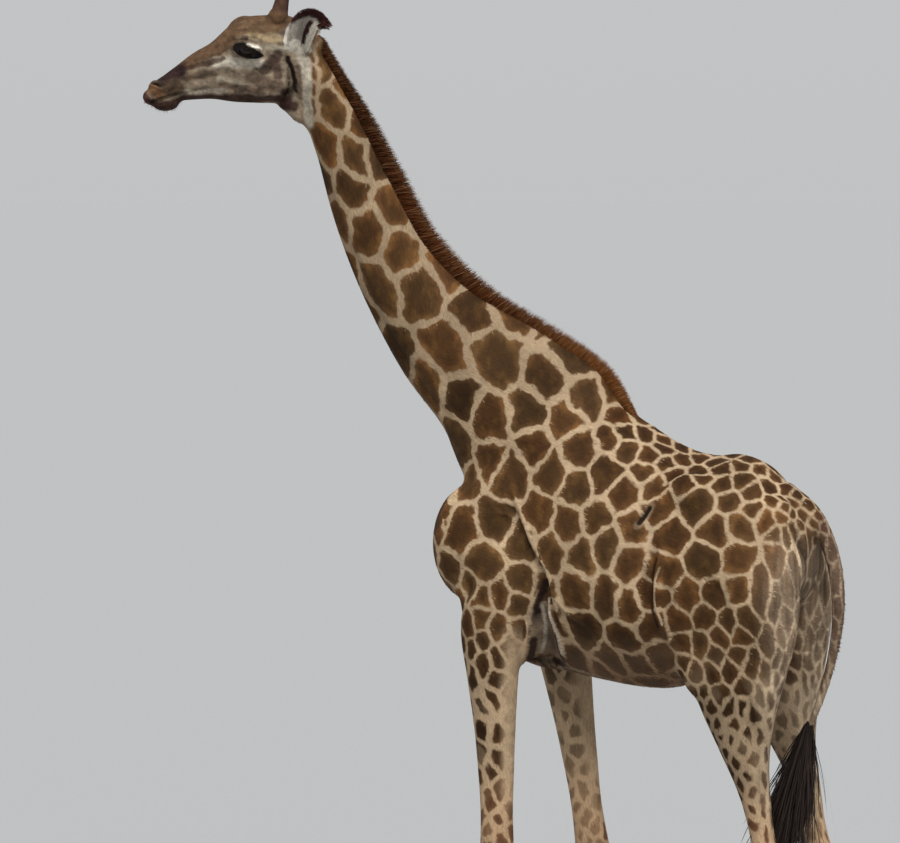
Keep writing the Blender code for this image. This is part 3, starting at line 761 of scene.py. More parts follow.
@dataclass(frozen=True)
class EarForm:
    """One ear: where its middle line runs, which way it opens, and how its leaf is curled.

    Attributes:
        side: which side of the head it is on.
    """

    side: Side

    SHARES = (0.0, 0.18, 0.42, 0.68, 0.88, 1.0)
    LINE = ((0.037, 0.068, 4.008), (0.031, 0.088, 4.042), (0.017, 0.112, 4.095), (-0.012, 0.132, 4.136),
        (-0.047, 0.139, 4.138), (-0.078, 0.14, 4.122))

    def track(self, share: np.ndarray) -> tuple[np.ndarray, ...]:
        """The ear's middle line, and which way the ear lies there.

        Args:
            share: shares of the ear's length.

        Returns:
            Place, and the unit vectors along it, out of its opening and across it.
        """
        turn = np.array(HEAD_AXES) * np.array([[1.0], [self.side.value], [1.0]])
        curves = [np.polyfit(self.SHARES, column, 3) for column in np.array(self.LINE).T]
        place = np.array(HEAD_POLL) + np.stack([np.polyval(c, share) for c in curves], 1) @ turn
        along = unit(np.stack([np.polyval(np.polyder(c), share) for c in curves], 1) @ turn)
        face = np.array([0.22, 0.93, -0.28]) @ turn
        face = unit(face - (along @ face)[:, None] * along)
        return place, along, face, np.cross(along, face)

    def half_width(self, share: np.ndarray) -> np.ndarray:
        """Half the leaf's width at a share of its length."""
        return np.interp(share, self.SHARES, (0.026, 0.041, 0.048, 0.041, 0.023, 0.006))

    def coordinates(self, points: np.ndarray, normals: np.ndarray) -> tuple[np.ndarray, ...]:
        """Share along the ear, place across it from front to rear, and how far it faces its opening.

        Args:
            points: places in the animal's frame.
            normals: the skin's normals there.

        Returns:
            The three numbers for each point. The share is -1 off the ear, and across runs from -1 to 1.
        """
        marks = np.linspace(-0.15, 1.05, 49)
        place, along, face, width = self.track(marks)
        share, across, inner = np.full(len(points), -1.0), np.zeros(len(points)), np.zeros(len(points))
        close = np.flatnonzero(np.linalg.norm(points - place[24], axis=1) < 0.16)
        nearest = np.linalg.norm(points[close][:, None] - place, axis=2).argmin(1)
        offset = points[close] - place[nearest]
        deep = np.abs((offset * face[nearest]).sum(1))
        share[close] = np.where(deep > 0.05, -1.0, marks[nearest])
        spread = (offset * width[nearest]).sum(1) * self.side.value
        across[close] = spread / self.half_width(marks[nearest])
        inner[close] = smoothstep((normals[close] * face[nearest]).sum(1), -0.1, 0.3)
        return share, across, inner

    @staticmethod
    def tip(share: np.ndarray, across: np.ndarray) -> np.ndarray:
        """The dark band along the ear's upper rim, widening to its tip."""
        return smoothstep(share - 0.24 * across + 0.1 * np.maximum(across, 0.0), 0.64, 0.74)

    @staticmethod
    def slit(share: np.ndarray, across: np.ndarray) -> np.ndarray:
        """The dark opening within the ear: painted shadow."""
        bowed = across - 0.3 - 0.6 * (share - 0.4) ** 2
        return smoothstep(np.abs(bowed), 0.3, 0.19) * smoothstep(np.abs(share - 0.4), 0.3, 0.22)

    @staticmethod
    def shell(share: np.ndarray, across: np.ndarray) -> np.ndarray:
        """The greyer hollow before the opening: painted shade."""
        return smoothstep(np.abs(across + 0.1), 0.6, 0.1) * smoothstep(np.abs(share - 0.38), 0.34, 0.12)

    def surface(self, share: np.ndarray, across: np.ndarray, lift: float) -> np.ndarray:
        """Places on the curled leaf.

        Args:
            share: how far along the ear, from 0 at the root to 1 at the tip.
            across: from -1 at one rim to 1 at the other.
            lift: how far the place lies from the leaf's middle, towards its opening.

        Returns:
            The places.
        """
        place, _, face, width = self.track(share)
        deep = np.interp(share, self.SHARES, (0.02, 0.022, 0.019, 0.013, 0.008, 0.003))
        curl = 0.012 * np.sin(math.pi * np.clip(share, 0, 1)) * across**4
        rise = -deep * (1 - across**2) + curl + lift
        return place + (across * self.half_width(share))[:, None] * width + rise[:, None] * face

    def leaf(self) -> Shape:
        """The ear as a thin closed shell.

        Returns:
            Its points and faces.
        """
        rows, columns, thick = 26, 17, 0.0034
        shares = np.linspace(-0.1, 1.0, rows)
        across = np.linspace(-1.0, 1.0, columns)
        grid_share = np.repeat(shares, columns)
        grid_across = np.tile(across, rows)
        front = self.surface(grid_share, grid_across, thick)
        back = self.surface(grid_share, grid_across, -thick)
        faces = []
        count = rows * columns
        for r in range(rows - 1):
            for c in range(columns - 1):
                a = r * columns + c
                quad = (a, a + 1, a + columns + 1, a + columns)
                faces.append(quad)
                faces.append(tuple(count + i for i in reversed(quad)))
        rim = list(range(columns))
        rim += [r * columns + columns - 1 for r in range(1, rows)]
        rim += [(rows - 1) * columns + c for c in range(columns - 2, -1, -1)]
        rim += [r * columns for r in range(rows - 2, 0, -1)]
        for a, b in zip(rim, rim[1:] + rim[:1]):
            faces.append((a, count + a, count + b, b))
        return np.concatenate([front, back]), faces


def distance_to_path(points: np.ndarray, path: Sequence) -> np.ndarray:
    """How far each point lies from a line of straight stretches.

    Args:
        points: places in the animal's frame.
        path: the corners of the line.

    Returns:
        The distances.
    """
    nearest = np.full(len(points), np.inf)
    path = np.array(path, float)
    for start, end in zip(path[:-1], path[1:]):
        span = end - start
        share = np.clip((points - start) @ span / max(span @ span, 1e-12), 0.0, 1.0)
        nearest = np.minimum(nearest, np.linalg.norm(points - start - share[:, None] * span, axis=1))
    return nearest


def boxed(points: np.ndarray, path: np.ndarray, room: float) -> np.ndarray:
    """The numbers of the points that lie in the box round a path, widened by room."""
    return np.flatnonzero(np.all((points > path.min(0) - room) & (points < path.max(0) + room), axis=1))


def settled(path: np.ndarray, close: np.ndarray, step: float) -> np.ndarray:
    """Marks along a line, each moved to the nearest of the places close by.

    Args:
        path: the corners of the line.
        close: places on the skin.
        step: how far apart the marks are.

    Returns:
        The marks' places.
    """
    length = np.r_[0.0, np.cumsum(np.linalg.norm(np.diff(path, axis=0), axis=1))]
    at = np.linspace(0.0, length[-1], int(length[-1] / step) + 2)
    marks = np.stack([np.interp(at, length, path[:, k]) for k in range(3)], 1)
    return np.array([close[((close - mark) ** 2).sum(1).argmin()] for mark in marks])


@dataclass(frozen=True)
class Crease:
    """A groove or ridge along a line on the skin, with painted shade in a groove and painted highlight on a
    ridge.

    Attributes:
        path: the line's corners.
        rise: how far it stands out, or sinks in where less than 0.
        width: how wide it is.
        shade: painted shade, how much it darkens the hair in it; above 1, painted highlight that lightens it.
        on_head: whether the corners are given along the head's heading.
        mirrored: whether it is on both sides.
    """

    path: tuple
    rise: float
    width: float
    shade: float = 1.0
    on_head: bool = False
    mirrored: bool = True

    def paths(self) -> list[np.ndarray]:
        """The line on one side, or on both, in the animal's frame.

        Returns:
            The corners of each line.
        """
        found = []
        for sign in (1, -1) if self.mirrored else (1,):
            if self.on_head:
                found.append(np.array([head_point(f, sign * l, h) for f, l, h in self.path]))
            else:
                found.append(np.array([(sign * x, y, z) for x, y, z in self.path]))
        return found

    def closeness(self, points: np.ndarray) -> np.ndarray:
        """1 on the line, falling away over its width and towards the line's ends.

        Args:
            points: places in the animal's frame.

        Returns:
            A number for each point.
        """
        reach = np.zeros(len(points))
        for path in self.paths():
            near = boxed(points, path, 3 * self.width + 0.02)
            if not len(near):
                continue
            close = points[near]
            marks = settled(path, close, 0.4 * self.width)
            fade = np.sqrt(np.sin(np.pi * np.linspace(0.03, 0.97, len(marks))))
            found = np.zeros(len(near))
            for mark, share in zip(marks, fade):
                found = np.maximum(found, share * np.exp(-((close - mark) ** 2).sum(1) / self.width**2))
            reach[near] = np.maximum(reach[near], found)
        return reach


def fold(*path: tuple, rise: float, width: float, shade: float = 1.0, mirrored: bool = True) -> Crease:
    """A crease of the body, its path in the animal's frame."""
    return Crease(path, rise, width, shade, False, mirrored)


def line(*path: tuple, rise: float, width: float, shade: float = 1.0, mirrored: bool = True) -> Crease:
    """A crease of the head, its path along the head's heading."""
    return Crease(path, rise, width, shade, True, mirrored)


# Lines round which the skin is finer: the slits before hip and flank, and the armpit's folds.
FINE_LINES = (((0.247, 0.954, 2.347), (0.268, 0.937, 2.318), (0.284, 0.921, 2.292)),
    ((0.305, 1.01, 2.17), (0.318, 0.996, 2.08), (0.313, 0.996, 2.0), (0.295, 1.01, 1.92)),
    ((0.24, 0.545, 1.995), (0.228, 0.56, 1.92), (0.205, 0.57, 1.84), (0.15, 0.567, 1.72)),
    ((0.216, 0.497, 1.995), (0.155, 0.491, 1.884), (0.123, 0.451, 1.777)))

# Each crease's shade is painted into the hair: painted shade in grooves, painted highlight on ridges.
BODY_CREASES = (
    # Hip bone, and the slit before it.
    fold((0.171, 1.097, 2.468), (0.229, 1.017, 2.413), (0.249, 0.965, 2.364), rise=0.012, width=0.026,
        shade=1.15),
    fold((0.245, 0.955, 2.35), (0.285, 0.921, 2.29), rise=-0.014, width=0.011, shade=0.6),
    # Fold of the flank, a standing edge with a hollow before and behind it.
    fold((0.29, 1.03, 2.231), (0.312, 1.011, 2.121), (0.315, 1.008, 2.017), (0.29, 1.024, 1.911),
        (0.246, 1.065, 1.818), rise=0.014, width=0.012, shade=1.12),
    fold((0.3, 1.0, 2.22), (0.318, 0.978, 2.11), (0.31, 0.975, 2.01), rise=-0.017, width=0.016, shade=0.55),
    fold((0.285, 1.062, 2.2), (0.3, 1.045, 2.08), (0.29, 1.05, 1.96), rise=-0.012, width=0.016, shade=0.75),
    # Rear border of the shoulder and upper arm.
    fold((0.215, 0.355, 2.451), (0.239, 0.415, 2.327), (0.258, 0.472, 2.203), (0.271, 0.542, 2.115),
        (0.267, 0.564, 2.038), (0.228, 0.6, 1.866), rise=0.009, width=0.012, shade=1.21),
    fold((0.236, 0.395, 2.31), (0.255, 0.45, 2.19), (0.266, 0.515, 2.1), (0.262, 0.535, 2.03),
        rise=-0.017, width=0.018, shade=0.62),
    # Armpit: the recess behind the elbow, its web of skin, and the rear of the arm.
    fold((0.258, 0.528, 2.05), (0.235, 0.5, 1.94), (0.205, 0.49, 1.83), (0.15, 0.48, 1.73),
        rise=-0.043, width=0.034, shade=0.62),
    fold((0.261, 0.521, 2.071), (0.236, 0.48, 1.981), (0.208, 0.436, 1.869), (0.162, 0.4, 1.733),
        rise=0.01, width=0.01, shade=1.21),
    fold((0.255, 0.53, 2.02), (0.241, 0.545, 1.95), (0.212, 0.572, 1.856), (0.15, 0.56, 1.745),
        rise=0.023, width=0.01, shade=1.21),
    fold((0.264, 0.562, 2.024), (0.267, 0.619, 1.956), (0.276, 0.694, 1.919), rise=0.009, width=0.009,
        shade=1.2),
    fold((0.19, 0.492, 1.95), (0.156, 0.491, 1.886), (0.136, 0.469, 1.824), rise=0.007, width=0.008,
        shade=1.1),
    fold((0.075, 0.385, 1.722), (0.088, 0.44, 1.725), (0.105, 0.51, 1.73), rise=-0.029, width=0.026,
        shade=0.25),
    # Wrinkles over the point of the shoulder.
    fold((0.241, 0.32, 2.323), (0.234, 0.364, 2.325), (0.24, 0.407, 2.298), rise=-0.007, width=0.006,
        shade=0.7),
    fold((0.238, 0.318, 2.3), (0.236, 0.36, 2.3), (0.24, 0.395, 2.28), rise=0.006, width=0.006, shade=1.2),
    # Chest: the hollow between the points of the shoulders, and the brisket's edge.
    fold((0.0, 0.13, 2.42), (0.0, 0.1, 2.2), (0.0, 0.16, 1.95), rise=-0.02, width=0.035, mirrored=False),
    fold((0.16, 0.14, 2.4), (0.205, 0.11, 2.31), (0.215, 0.085, 2.2), rise=0.009, width=0.016, shade=1.21),
    fold((0.226, 0.23, 2.06), (0.215, 0.19, 1.95), (0.195, 0.175, 1.83), rise=-0.01, width=0.014, shade=0.8),
    # Thigh, buttock and the string behind the stifle.
    fold((0.283, 1.18, 2.131), (0.269, 1.237, 2.054), (0.276, 1.272, 1.979), rise=-0.012, width=0.016,
        shade=0.82),
    fold((0.13, 1.475, 2.29), (0.105, 1.5, 2.215), (0.07, 1.505, 2.15), rise=-0.014, width=0.014, shade=0.4),
    fold((0.165, 1.455, 2.26), (0.14, 1.49, 2.19), (0.115, 1.5, 2.11), rise=0.007, width=0.009, shade=1.21),
    fold((0.222, 1.33, 1.75), (0.215, 1.345, 1.6), (0.222, 1.362, 1.45), rise=-0.014, width=0.022,
        shade=0.85),
    # Grooves between bone and tendon of the hind legs, on both faces.
    fold((0.222, 1.392, 1.42), (0.218, 1.402, 1.25), (0.222, 1.412, 1.11), rise=-0.013, width=0.013),
    fold((0.138, 1.392, 1.42), (0.142, 1.402, 1.25), (0.138, 1.412, 1.11), rise=-0.013, width=0.013),
    fold((0.212, 1.436, 0.82), (0.213, 1.438, 0.56), (0.214, 1.446, 0.34), rise=-0.007, width=0.01),
    fold((0.148, 1.436, 0.82), (0.147, 1.438, 0.56), (0.146, 1.446, 0.34), rise=-0.007, width=0.01),
    # Jugular groove and the muscle above it.
    fold((0.155, 0.13, 2.56), (0.175, -0.04, 2.76), (0.205, -0.2, 3.03), (0.238, -0.312, 3.33),
        (0.275, -0.4, 3.62), rise=-0.01, width=0.026, shade=0.9, mirrored=False),
    fold((0.0, 0.7, 2.7), (0.0, 1.0, 2.56), (0.0, 1.3, 2.5), rise=0.009, width=0.022, mirrored=False),
)

# Here too each shade is painted: painted shade in slits, grooves and under the jaw, painted highlight on
# rims.
HEAD_CREASES = (
    # The mouth, from the front of the lips back along the cheek.
    line((0.612, 0.0, 3.834), (0.603, 0.018, 3.828), (0.582, 0.034, 3.83), (0.559, 0.041, 3.836),
        (0.526, 0.044, 3.846), (0.488, 0.042, 3.852), (0.449, 0.042, 3.86), rise=-0.009, width=0.0042,
        shade=0.22),
    line((0.449, 0.044, 3.862), (0.404, 0.047, 3.871), (0.37, 0.05, 3.878), rise=-0.004, width=0.006,
        shade=0.6),
    line((0.59, 0.036, 3.846), (0.55, 0.046, 3.852), (0.5, 0.047, 3.862), rise=0.003, width=0.008, shade=1.1),
    # Nostril: a slanting slit with a raised wing.
    line((0.588, 0.034, 3.9), (0.572, 0.043, 3.896), (0.553, 0.047, 3.886), rise=-0.01, width=0.0045,
        shade=0.1),
    line((0.592, 0.03, 3.91), (0.572, 0.04, 3.908), (0.548, 0.046, 3.898), rise=0.004, width=0.006,
        shade=0.8),
    line((0.585, 0.042, 3.888), (0.566, 0.048, 3.884), (0.545, 0.05, 3.874), rise=0.003, width=0.006,
        shade=1.1),
    # Facial crest, cheek muscle and the rear border of the jaw.
    line((0.475, 0.052, 3.928), (0.392, 0.062, 3.935), (0.33, 0.072, 3.968), (0.27, 0.085, 3.985),
        rise=0.004, width=0.012),
    line((0.47, 0.052, 3.912), (0.392, 0.06, 3.918), (0.33, 0.068, 3.945), rise=-0.004, width=0.012,
        shade=0.75),
    line((0.258, 0.075, 3.96), (0.262, 0.07, 3.9), (0.24, 0.05, 3.85), rise=-0.003, width=0.014, shade=0.9),
    line((0.078, 0.08, 4.0), (0.068, 0.077, 3.96), (0.06, 0.062, 3.905), (0.068, 0.04, 3.862),
        (0.09, 0.02, 3.835), rise=-0.009, width=0.009, shade=0.3),
    line((0.092, 0.082, 3.99), (0.084, 0.078, 3.93), (0.088, 0.06, 3.875), rise=0.003, width=0.008,
        shade=1.21),
    # Wrinkles over and under the eye, and the tear line.
    line((0.285, 0.08, 4.06), (0.235, 0.1, 4.062), (0.185, 0.1, 4.046), rise=-0.0035, width=0.004,
        shade=0.75),
    line((0.275, 0.085, 4.01), (0.225, 0.1, 3.988), (0.17, 0.094, 3.985), rise=-0.003, width=0.004,
        shade=0.8),
    line((0.285, 0.08, 4.036), (0.315, 0.07, 4.02), (0.34, 0.064, 4.0), rise=-0.003, width=0.006, shade=0.55),
    line((0.15, 0.092, 4.004), (0.12, 0.09, 3.99), rise=-0.003, width=0.006, shade=0.6),
    # Throat.
    line((0.11, 0.0, 3.826), (0.085, 0.0, 3.815), rise=0.01, width=0.018, shade=0.5, mirrored=False),
)


@dataclass(frozen=True)
class EyeForm:
    """One eye: its ball, the way it looks, and the opening between its lids.

    Attributes:
        side: which side of the head it is on.
        half_length: half the opening's length.
        half_height: half its height.
    """

    side: Side
    half_length: float = 0.0262
    half_height: float = 0.0185

    @property
    def centre(self) -> np.ndarray:
        """The middle of the ball."""
        forward, left, height = EYE_PLACE
        return np.array(head_point(forward, self.side.value * left, height))

    def axes(self) -> np.ndarray:
        """Rows: along the opening to the front corner, up across it, and outwards.

        Returns:
            Three unit vectors.
        """
        s = self.side.value
        out = (HEAD_LEFT * s + HEAD_FORWARD * 0.2 - UP * 0.06).normalized()
        along = HEAD_FORWARD * 0.958 + UP * 0.287
        along = (along - out * along.dot(out)).normalized()
        rise = out.cross(along) * (-s)
        if rise.z < 0:
            rise = -rise
        return np.array([along, rise, out])

    def local(self, points: np.ndarray) -> np.ndarray:
        """Places as (along, rise, out) from the ball's middle."""
        return (points - self.centre) @ self.axes().T

    def outside(self, spots: np.ndarray) -> np.ndarray:
        """How far a place lies outside the opening, below 0 within it.

        Args:
            spots: places from the ball's middle, as local gives them.

        Returns:
            The distances.
        """
        along, rise = spots[:, 0], spots[:, 1]
        share = np.clip(1.0 - (along / self.half_length) ** 2, 0.0, 1.0)
        upper = self.half_height * share**0.8
        lower = self.half_height * 0.74 * share**0.9
        within = np.where(rise > 0, rise - upper, -rise - lower)
        beyond = np.hypot(np.maximum(np.abs(along) - self.half_length, 0.0), rise)
        return np.where(np.abs(along) < self.half_length, within, beyond)

    def dark(self, points: np.ndarray) -> np.ndarray:
        """How far each place belongs to the dark round the opening, drawn out to its corners: lid skin and
        painted shade under the lashes.

        Args:
            points: places in the animal's frame.

        Returns:
            A share for each point.
        """
        along, rise, out = self.local(points).T
        share = np.clip(1.0 - ((along + 0.006) / 0.06) ** 2, 0.0, 1.0)
        front = smoothstep(along, -0.012, 0.02)
        top = (0.02 + 0.0095 * front) * share ** (0.9 - 0.45 * front)
        low = 0.0275 * share ** (0.8 - 0.3 * front)
        within = np.where(rise > 0, top - rise, low + rise)
        return smoothstep(within, -0.0015, 0.003) * (out > -0.03) * (share > 0)

    def shape_lids(self, points: np.ndarray) -> np.ndarray:
        """The skin round the eye, opened over the ball and wrapped round it as lids.

        Args:
            points: places in the animal's frame.

        Returns:
            The points moved.
        """
        spots = self.local(points)
        along, rise, out = spots.T
        flat = np.hypot(along, rise)
        near = (flat < 0.06) & (out > -0.004)
        gap = self.outside(spots)
        ball = np.sqrt(np.maximum(EYE_RADIUS**2 - flat**2, 0.0))
        upper = smoothstep(rise, -0.004, 0.006)
        lid = ball + 0.0016 + (0.0022 + 0.0018 * upper) * np.exp(-(((gap - 0.004) / 0.004) ** 2))
        hold = np.exp(-((np.maximum(gap - 0.004, 0.0) / 0.013) ** 2))
        wrapped = out + hold * np.maximum(lid - out, -0.004)
        opened = ball - 0.007
        inside = smoothstep(gap, 0.0004, -0.0022)
        target = wrapped * (1 - inside) + opened * inside
        moved = np.where(near, target, out)
        return points + np.outer(moved - out, self.axes()[2])


@dataclass(frozen=True)
class SkinSculptor:
    """Grows the skin, cuts it for the hooves, and works its detail in.

    Attributes:
        anatomy: the flesh that it covers.
        quick: whether it is grown coarser, for a trial.
        coarse: how much coarser that is.
        body_growth: how everything behind the nape is grown.
        head_growth: how the head is grown.
    """

    anatomy: Anatomy
    quick: bool
    coarse: float = 1.6
    body_growth: Growth = Growth(voxel=0.0085, fillet=0.045, inset=0.004)
    head_growth: Growth = Growth(voxel=0.0028, fillet=0.022, inset=0.0025, rounds=8)

    def _growth(self, full: Growth) -> Growth:
        """A growth as it is, or coarser for a trial."""
        return replace(full, voxel=full.voxel * (self.coarse if self.quick else 1.0))

    def build(self) -> bpy.types.Object:
        """One skin from muzzle to tail, in the animal's frame.

        Returns:
            The skin.
        """
        body = self._growth(self.body_growth).grow("skin", self.anatomy.body(), [self.anatomy.tail()])
        ears = [EarForm(side).leaf() for side in Side]
        head = self._growth(self.head_growth).grow("head", self.anatomy.head(), ears)
        tilt = Matrix.Rotation(NAPE_SLOPE, 3, "X") @ UP
        slope = Vector((0.0, CORONET_SLOPE, 1.0)).normalized()
        for side, coronet_y in self.anatomy.feet().values():
            foot = Vector((side.value * LEG_OUT, coronet_y, CORONET_Z - 0.006))
            self._cut(body, foot, -slope, near=0.16)
        self._cut(body, NAPE_SEAM - tilt * 0.007, tilt)
        self._cut(head, NAPE_SEAM, -tilt)
        skin = joined(body, head)
        self._bridge(skin)
        self._refine(skin)
        points = points_of(skin)
        seam = np.abs((points - np.array(NAPE_SEAM)) @ np.array(tilt))
        relax(skin, 12, smoothstep(seam, 0.05, 0.01))
        self._work(skin)
        return skin

    def _cut(self, obj: bpy.types.Object, at: Vector, outward: Vector, near: float = 9.0) -> None:
        """Cuts away what lies on the outward side of a plane, near a place.

        Args:
            obj: the mesh object.
            at: a place on the plane.
            outward: its normal.
            near: how far from the place anything is cut.
        """
        with editing(obj.data) as shape:
            verts = [v for v in shape.verts if (v.co - at).length < near]
            chosen = set(verts)
            edges = [e for e in shape.edges if e.verts[0] in chosen and e.verts[1] in chosen]
            faces = [f for f in shape.faces if all(v in chosen for v in f.verts)]
            bmesh.ops.bisect_plane(
                shape, geom=verts + edges + faces, dist=1e-5, plane_co=at, plane_no=outward, clear_outer=True
            )
            if near < 1.0:
                rim = [e for e in shape.edges if e.is_boundary]
                bmesh.ops.holes_fill(shape, edges=rim, sides=0)

    def _bridge(self, obj: bpy.types.Object) -> None:
        """Closes the narrow band between the two open rims.

        Args:
            obj: the mesh object.
        """
        with editing(obj.data) as shape:
            bmesh.ops.bridge_loops(shape, edges=[e for e in shape.edges if e.is_boundary])
            bmesh.ops.recalc_face_normals(shape, faces=shape.faces)

    def _refine(self, obj: bpy.types.Object) -> None:
        """Splits the faces at eyes, lips and sharp folds finer, and evens them out.

        Args:
            obj: the mesh object.
        """

        def detail(points: np.ndarray) -> np.ndarray:
            """Where eyes and lips are.

            Args:
                points: places in the animal's frame.

            Returns:
                1 there and 0 elsewhere, with an even run between.
            """
            share = np.zeros(len(points))
            for side in Side:
                share += smoothstep(np.linalg.norm(points - EyeForm(side).centre, axis=1), 0.056, 0.05)
            along, left, height = head_local(points).T
            muzzle = (along > 0.48) & (height < 3.915) & (np.abs(left) < 0.1)
            return np.clip(share + muzzle, 0.0, 1.0)

        def folds(points: np.ndarray) -> np.ndarray:
            """Where the body's sharp folds are."""
            away = [distance_to_path(folded(points), path) for path in FINE_LINES]
            return smoothstep(np.min(away, axis=0), 0.048, 0.036)

        for chosen in (detail, folds, folds):
            wanted = chosen(points_of(obj)) > 0.5
            with editing(obj.data) as shape:
                edges = [e for e in shape.edges if wanted[e.verts[0].index] and wanted[e.verts[1].index]]
                bmesh.ops.subdivide_edges(shape, edges=edges, cuts=1, use_grid_fill=True)
            relax(obj, 3, chosen(points_of(obj)))

    def _work(self, obj: bpy.types.Object) -> None:
        """Folds, lids, lips and the unevenness of muscle under skin.

        Args:
            obj: the mesh object.
        """
        points, normals = points_of(obj), normals_of(obj)
        rise = np.zeros(len(points))
        for crease in BODY_CREASES + HEAD_CREASES:
            rise += crease.rise * crease.closeness(points)
        local = head_local(points)
        on_head = smoothstep(local[:, 0], -0.05, 0.05) * (points[:, 2] > 3.7)
        rise += (1 - on_head) * self._muscle(points) + on_head * 0.3 * self._muscle(points * 3.0)
        rise += self._ribs(points)
        points = points + rise[:, None] * normals
        for side in Side:
            points = EyeForm(side).shape_lids(points)
        set_points(obj, points)

    def _muscle(self, points: np.ndarray) -> np.ndarray:
        """Slow swells of a few millimetres, longer down the body than across."""
        return 0.0045 * noise_field(noise.noise, points * (5.0, 4.0, 3.0))

    def _ribs(self, points: np.ndarray) -> np.ndarray:
        """Faint ribs, slanting back down the barrel.

        Args:
            points: places in the animal's frame.

        Returns:
            How far each point is raised.
        """
        x, y, z = points.T
        phase = (y - 0.28 * (2.3 - z)) / 0.075
        barrel = smoothstep(y, 0.6, 0.72) * smoothstep(y, 1.02, 0.92)
        height = smoothstep(z, 1.8, 1.92) * smoothstep(z, 2.4, 2.25)
        return 0.0022 * np.sin(2 * math.pi * phase) * barrel * height * (np.abs(x) > 0.15)


